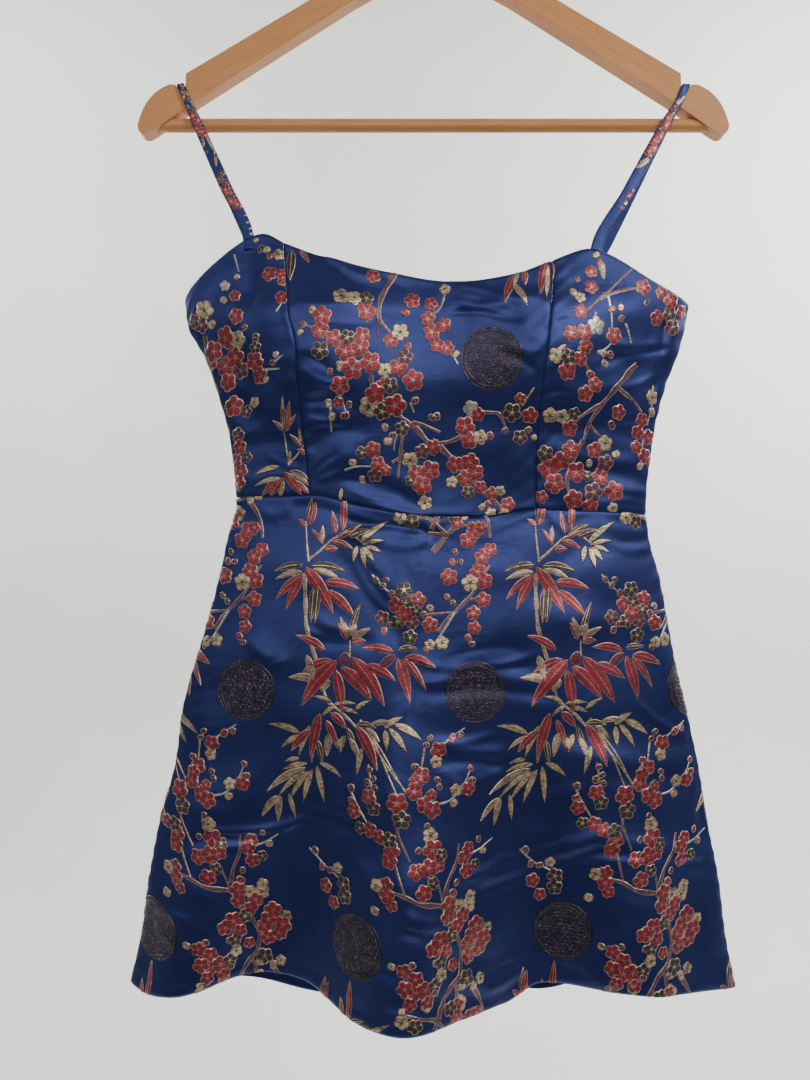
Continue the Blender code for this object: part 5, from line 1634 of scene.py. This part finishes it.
def strap_fractions(name, places):
    """A strap's marks run along it from its front end. Its chart lies round its middle line."""
    at, width = straps[name][1:]
    v = np.interp(places[:, 1], at, np.arange(len(at)), left=-1, right=len(at)) / (len(at) - 1)
    return 0.5 + places[:, 0] / np.interp(places[:, 1], at, width) / CHARTED_SHARE, v


# %% Weave the straps' charts into their outer faces
patterns.update({
    name: weave(name, [(chart_strap(name), (0.0, 0.0))], strap_fractions) for name in STRAP_ENDS
})
print({name: len(patterns[name].data.polygons) for name in STRAP_ENDS})

# %% [markdown]
# ## The straps' stitches and frays
# The folded edge of a strap is closed with a straight stitch. Satin frays as soon as it is cut, so a
# few warp threads have worked out of the right strap's fold.


# %% Stitch the straps
def add_stitches(name, spots, alongs, outs, long, wide, material):
    """A row of stitches: one short bead is modelled, then copied to each place."""
    clear_selection()
    bpy.ops.mesh.primitive_uv_sphere_add(segments=6, ring_count=4, radius=0.5)
    bead = bpy.context.object
    shape = np.array([v.co[:] for v in bead.data.vertices])
    faces = [tuple(f.vertices) for f in bead.data.polygons]
    bpy.data.objects.remove(bead)
    asides = np.cross(alongs, outs)
    corners = (
        spots[:, None]
        + shape[None, :, 2:3] * long * alongs[:, None]
        + shape[None, :, 0:1] * wide * asides[:, None]
        + shape[None, :, 1:2] * wide * 0.8 * outs[:, None]
    ).reshape(-1, 3)
    every = [tuple(i + k * len(shape) for i in face) for k in range(len(spots)) for face in faces]
    obj = add_mesh(name, corners, every, [material])
    add_cloth_uv(obj.data, corners[:, [0, 2]] * MM)
    obj.data.shade_smooth()
    return obj


navy_thread = make_thread("thread_navy", (0.014, 0.024, 0.080), (0.008, 0.014, 0.050))
STITCH_LONG, STITCH_WIDE, STITCH_STEP, UNSTITCHED_END = 2.4, 0.55, 3.0, 14.0
STITCH_COLUMN = 7


def stitch_strap(name):
    """A straight row of stitches in the dent along the strap's edge."""
    (points, outs), at = laid[name], straps[name][1]
    edge = points[:, STITCH_COLUMN]
    wanted = np.arange(UNSTITCHED_END, at[-1] - UNSTITCHED_END, STITCH_STEP)
    spots = np.stack([np.interp(wanted, at, edge[:, k]) for k in range(3)], -1)
    ahead = np.stack([np.interp(wanted + 1, at, edge[:, k]) for k in range(3)], -1)
    alongs = (ahead - spots) / np.linalg.norm(ahead - spots, axis=1, keepdims=True)
    out = np.stack([np.interp(wanted, at, outs[:, STITCH_COLUMN, k]) for k in range(3)], -1)
    spots = spots + out * 0.02
    return add_stitches(name + "_stitches", spots, alongs, out, STITCH_LONG, STITCH_WIDE, navy_thread)


strap_stitches = {name: stitch_strap(name) for name in STRAP_ENDS}


# %% Fray the right strap
FRAY_COUNT, FRAY_COLUMN, FRAY_STEPS, FRAY_RADIUS = 12, 8, 7, 0.11


def add_frays(name, starts, ways, lengths, material):
    """Loose thread ends: thin tapering tubes that curl away from where they start."""
    curve = bpy.data.curves.new(name, "CURVE")
    curve.dimensions, curve.bevel_depth, curve.bevel_resolution = "3D", FRAY_RADIUS * MM, 1
    for start, way, length in zip(starts, ways, lengths):
        spline = curve.splines.new("POLY")
        spline.points.add(FRAY_STEPS)
        bend = np.array([random.uniform(-1, 1), random.uniform(-0.6, 0.2), random.uniform(-1.2, 0.2)])
        for k, point in enumerate(spline.points):
            t = k / FRAY_STEPS
            x, y, z = (start + way * length * t + bend * length * 0.45 * t * t) * MM
            point.co = (x, y, z, 1.0)
            point.radius = 1.0 - 0.6 * t
    obj = bpy.data.objects.new(name, curve)
    bpy.context.scene.collection.objects.link(obj)
    choose(obj)
    bpy.ops.object.convert(target="MESH")
    obj = bpy.context.object
    finish_mesh(obj, name, [material])
    places = np.array([v.co[:] for v in obj.data.vertices])
    add_cloth_uv(obj.data, places[:, [0, 2]])
    return obj


def fray_places(name, count, column):
    points, outs = laid[name]
    stations = [random.randint(8, 42) for _ in range(count)]
    starts = np.array([points[k, column] for k in stations])
    sign = 1 if column > 4 else -1
    ways = np.array([
        (points[k, column] - points[k, column - sign]) * 0.8 + outs[k, column] * random.uniform(0.1, 0.7)
        for k in stations
    ])
    return starts, ways / np.linalg.norm(ways, axis=1, keepdims=True)


frays = add_frays(
    "strap_right_frays", *fray_places("strap_right", FRAY_COUNT, FRAY_COLUMN),
    [random.uniform(2, 5) for _ in range(FRAY_COUNT)],
    bpy.data.materials["thread_mauve"],
)
print(len(frays.data.polygons), "faces of loose thread")

# %% [markdown]
# ## Wood, steel and zip
# The hanger is beech, stained warm and varnished, its grain running along each arm. Pieces that were
# packed as solids keep their meshes here, so their finish has to come from materials alone.

# %% The varnished wood
def make_wood(name, arms):
    material, shader = new_material(name, (0.52, 0.235, 0.080), 0.36)
    place = solid_place(material)
    if arms:
        split = add_node(material, "ShaderNodeSeparateXYZ", {"Vector": place}).outputs
        mirrored = add_node(material, "ShaderNodeMath", {0: split["X"]}, operation="ABSOLUTE")
        place = add_node(
            material, "ShaderNodeCombineXYZ",
            {"X": mirrored.outputs["Value"], "Y": split["Y"], "Z": split["Z"]},
        ).outputs["Vector"]
        place = add_node(
            material, "ShaderNodeMapping",
            {"Vector": place, "Rotation": (0.0, math.radians(-30.4), 0.0)},
        ).outputs["Vector"]
    grain = noise(material, stretched(material, place, (14.0, 150.0, 420.0)), Detail=5.0, Distortion=0.6)
    pores = noise(material, stretched(material, place, (95.0, 1600.0, 1600.0)), Detail=2.0)
    bands = mix(material, 0.35, grain, noise(material, place, 16.0))
    colour = ramp(
        material, bands,
        ((0.3, (0.56, 0.228, 0.075)), (0.5, (0.62, 0.266, 0.092)), (0.7, (0.66, 0.300, 0.112))),
    )
    dark = ramp(material, pores, ((0.34, (0.86, 0.82, 0.78)), (0.46, (1.0, 1.0, 1.0))))
    shade = add_node(
        material, "ShaderNodeMix", {"Factor": 0.8, "A": colour, "B": dark},
        data_type="RGBA", blend_type="MULTIPLY",
    )
    link(material, shade.outputs[2], shader.inputs["Base Color"])
    link(material, bump(material, pores, 0.04, 0.0002), shader.inputs["Normal"])
    shader.inputs["Specular IOR Level"].default_value = 0.3
    shader.inputs["Coat Weight"].default_value = 0.12
    shader.inputs["Coat Roughness"].default_value = 0.2
    return material


# %% The metals
def make_metal(name, colour, dark, roughness):
    material, shader = new_material(name, colour, roughness, 1.0)
    drawn = stretched(material, solid_place(material), (500.0, 500.0, 60.0))
    scratches = noise(material, drawn, Detail=3.0)
    link(material, ramp(material, scratches, ((0.3, dark), (0.65, colour))), shader.inputs["Base Color"])
    rough = add_node(
        material, "ShaderNodeMapRange",
        {"Value": scratches, "To Min": roughness * 0.7, "To Max": roughness * 1.4},
    ).outputs["Result"]
    link(material, rough, shader.inputs["Roughness"])
    link(material, bump(material, scratches, 0.08, 0.0002), shader.inputs["Normal"])
    return material


FINISHES = {
    "hanger_arms": (make_wood("arm_wood", True), "wood"),
    "hanger_bar": (make_wood("bar_wood", False), "wood"),
    "hanger_hook": (make_metal("hook_steel", (0.62, 0.62, 0.64), (0.45, 0.45, 0.47), 0.24), "steel"),
    "zip_slider": (make_metal("zip_enamel", (0.03, 0.06, 0.20), (0.015, 0.03, 0.11), 0.35), "zip_metal"),
}
FINISHES["zip_pull"] = FINISHES["zip_slider"]
for node, (material, slot) in FINISHES.items():
    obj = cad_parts[node]
    obj.data.materials.clear()
    obj.data.materials.append(material)
print("finished", ", ".join(FINISHES))

# %% [markdown]
# ## Riding the frame
# Every new piece moves with the imported body named root. Each cloth panel and strap also hides
# the imported solid that it stands in for.

for name, obj in panels.items():
    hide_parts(name)
    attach(obj, "root")
for name, (obj, at, width) in straps.items():
    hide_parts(name)
    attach(obj, "root")
for obj in (*patterns.values(), *strap_stitches.values(), frays):
    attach(obj, "root")
print("declared", len(panels) + len(straps), "pieces of cloth")

# %% [markdown]
# ## The studio
# The dress was photographed against a pale wall, in daylight from the right. A floor that curves up
# into a wall gives a plain backdrop with no corner in it. A small light stands at the right front, as
# a window does. Two wide ones in front overlap, so that their sheen has a soft edge, and a weak one
# fills the left. The wall has its own lights, because satin looks flat and grey when the whole room is
# bright.

# %% Build the backdrop
FLOOR_HEIGHT, FLOOR_FRONT, WALL_DISTANCE, COVE = -1.75, 0.5, 2.9, 0.7
clear_selection()
bpy.ops.mesh.primitive_plane_add(size=1.0, location=(0.0, (WALL_DISTANCE - FLOOR_FRONT) / 2, FLOOR_HEIGHT))
backdrop = bpy.context.object
backdrop.scale = (14.0, WALL_DISTANCE + FLOOR_FRONT, 1.0)
bpy.ops.object.transform_apply(location=True, rotation=True, scale=True)
bpy.ops.object.mode_set(mode="EDIT")
bpy.ops.mesh.select_all(action="DESELECT")
bpy.ops.object.mode_set(mode="OBJECT")
far_edge = max(v.co.y for v in backdrop.data.vertices)
for edge in backdrop.data.edges:
    edge.select = all(abs(backdrop.data.vertices[i].co.y - far_edge) < 1e-6 for i in edge.vertices)
bpy.ops.object.mode_set(mode="EDIT")
bpy.ops.mesh.extrude_region_move(TRANSFORM_OT_translate={"value": (0.0, 0.0, 5.0)})
bpy.ops.object.mode_set(mode="OBJECT")
apply_modifier(backdrop, "BEVEL", width=COVE, segments=16, limit_method="ANGLE")
backdrop.data.shade_smooth()
plaster, shader = new_material("plaster", (0.80, 0.81, 0.79), 0.9)
mottle = noise(plaster, solid_place(plaster), 3.0, Detail=4.0)
tone = ramp(plaster, mottle, ((0.3, (0.775, 0.785, 0.765)), (0.7, (0.81, 0.82, 0.80))))
link(plaster, tone, shader.inputs["Base Color"])
finish_mesh(backdrop, "backdrop", [plaster])
print("backdrop with", len(backdrop.data.polygons), "faces")


# %% Light the dress and the wall
def add_softbox(name, location, target, size, power, colour):
    bpy.ops.object.light_add(type="AREA", location=location)
    light = bpy.context.object
    light.name = name
    light.data.shape = "RECTANGLE"
    light.data.size, light.data.size_y = size
    light.data.energy = power
    light.data.color = colour
    aim = Vector(target) - Vector(location)
    light.rotation_euler = aim.to_track_quat("-Z", "Y").to_euler()
    return light


DAYLIGHT, COOL = (1.0, 0.985, 0.96), (0.86, 0.92, 1.0)
add_softbox("window", (1.0, -1.0, 0.40), (0.0, 0.0, -0.32), (0.4, 0.7), 12.0, DAYLIGHT)
add_softbox("room", (-1.5, -1.4, 0.1), (0.0, 0.0, -0.5), (1.2, 1.2), 3.5, COOL)
add_softbox("front", (0.15, -2.0, 0.25), (0.0, 0.0, -0.3), (2.6, 1.5), 12.0, DAYLIGHT)
add_softbox("front_core", (0.15, -1.95, 0.25), (0.0, 0.0, -0.3), (1.6, 0.8), 8.5, DAYLIGHT)
add_softbox("behind", (0.5, 2.0, 0.9), (0.0, 0.0, -0.4), (1.2, 0.8), 22.0, DAYLIGHT)
add_softbox("wall_left", (-2.2, 1.2, 1.1), (-0.6, 2.9, 0.1), (1.5, 2.0), 88.0, DAYLIGHT)
add_softbox("wall_right", (2.2, 1.2, 1.0), (0.6, 2.9, -0.1), (1.5, 2.0), 150.0, DAYLIGHT)
LIGHT_BELOW, LIGHT_ABOVE = 0.01, 0.18
world = bpy.data.worlds.new("studio")
bpy.context.scene.world = world
world.use_nodes = True
nodes, links = world.node_tree.nodes, world.node_tree.links
room_light, seen_light = nodes["Background"], nodes.new("ShaderNodeBackground")
room_light.inputs["Color"].default_value = (0.82, 0.87, 0.95, 1.0)
sight = nodes.new("ShaderNodeTexCoord").outputs["Generated"]
split, strength = nodes.new("ShaderNodeSeparateXYZ"), nodes.new("ShaderNodeMapRange")
strength.inputs["From Min"].default_value = -1.0
strength.inputs["To Min"].default_value = LIGHT_BELOW
strength.inputs["To Max"].default_value = LIGHT_ABOVE
links.new(sight, split.inputs[0])
links.new(split.outputs["Z"], strength.inputs["Value"])
links.new(strength.outputs["Result"], room_light.inputs["Strength"])
seen_light.inputs["Color"].default_value = (0.72, 0.73, 0.72, 1.0)
seen_light.inputs["Strength"].default_value = 0.95
ray, mixed = nodes.new("ShaderNodeLightPath"), nodes.new("ShaderNodeMixShader")
links.new(ray.outputs["Is Camera Ray"], mixed.inputs[0])
links.new(room_light.outputs[0], mixed.inputs[1])
links.new(seen_light.outputs[0], mixed.inputs[2])
links.new(mixed.outputs[0], nodes["World Output"].inputs["Surface"])
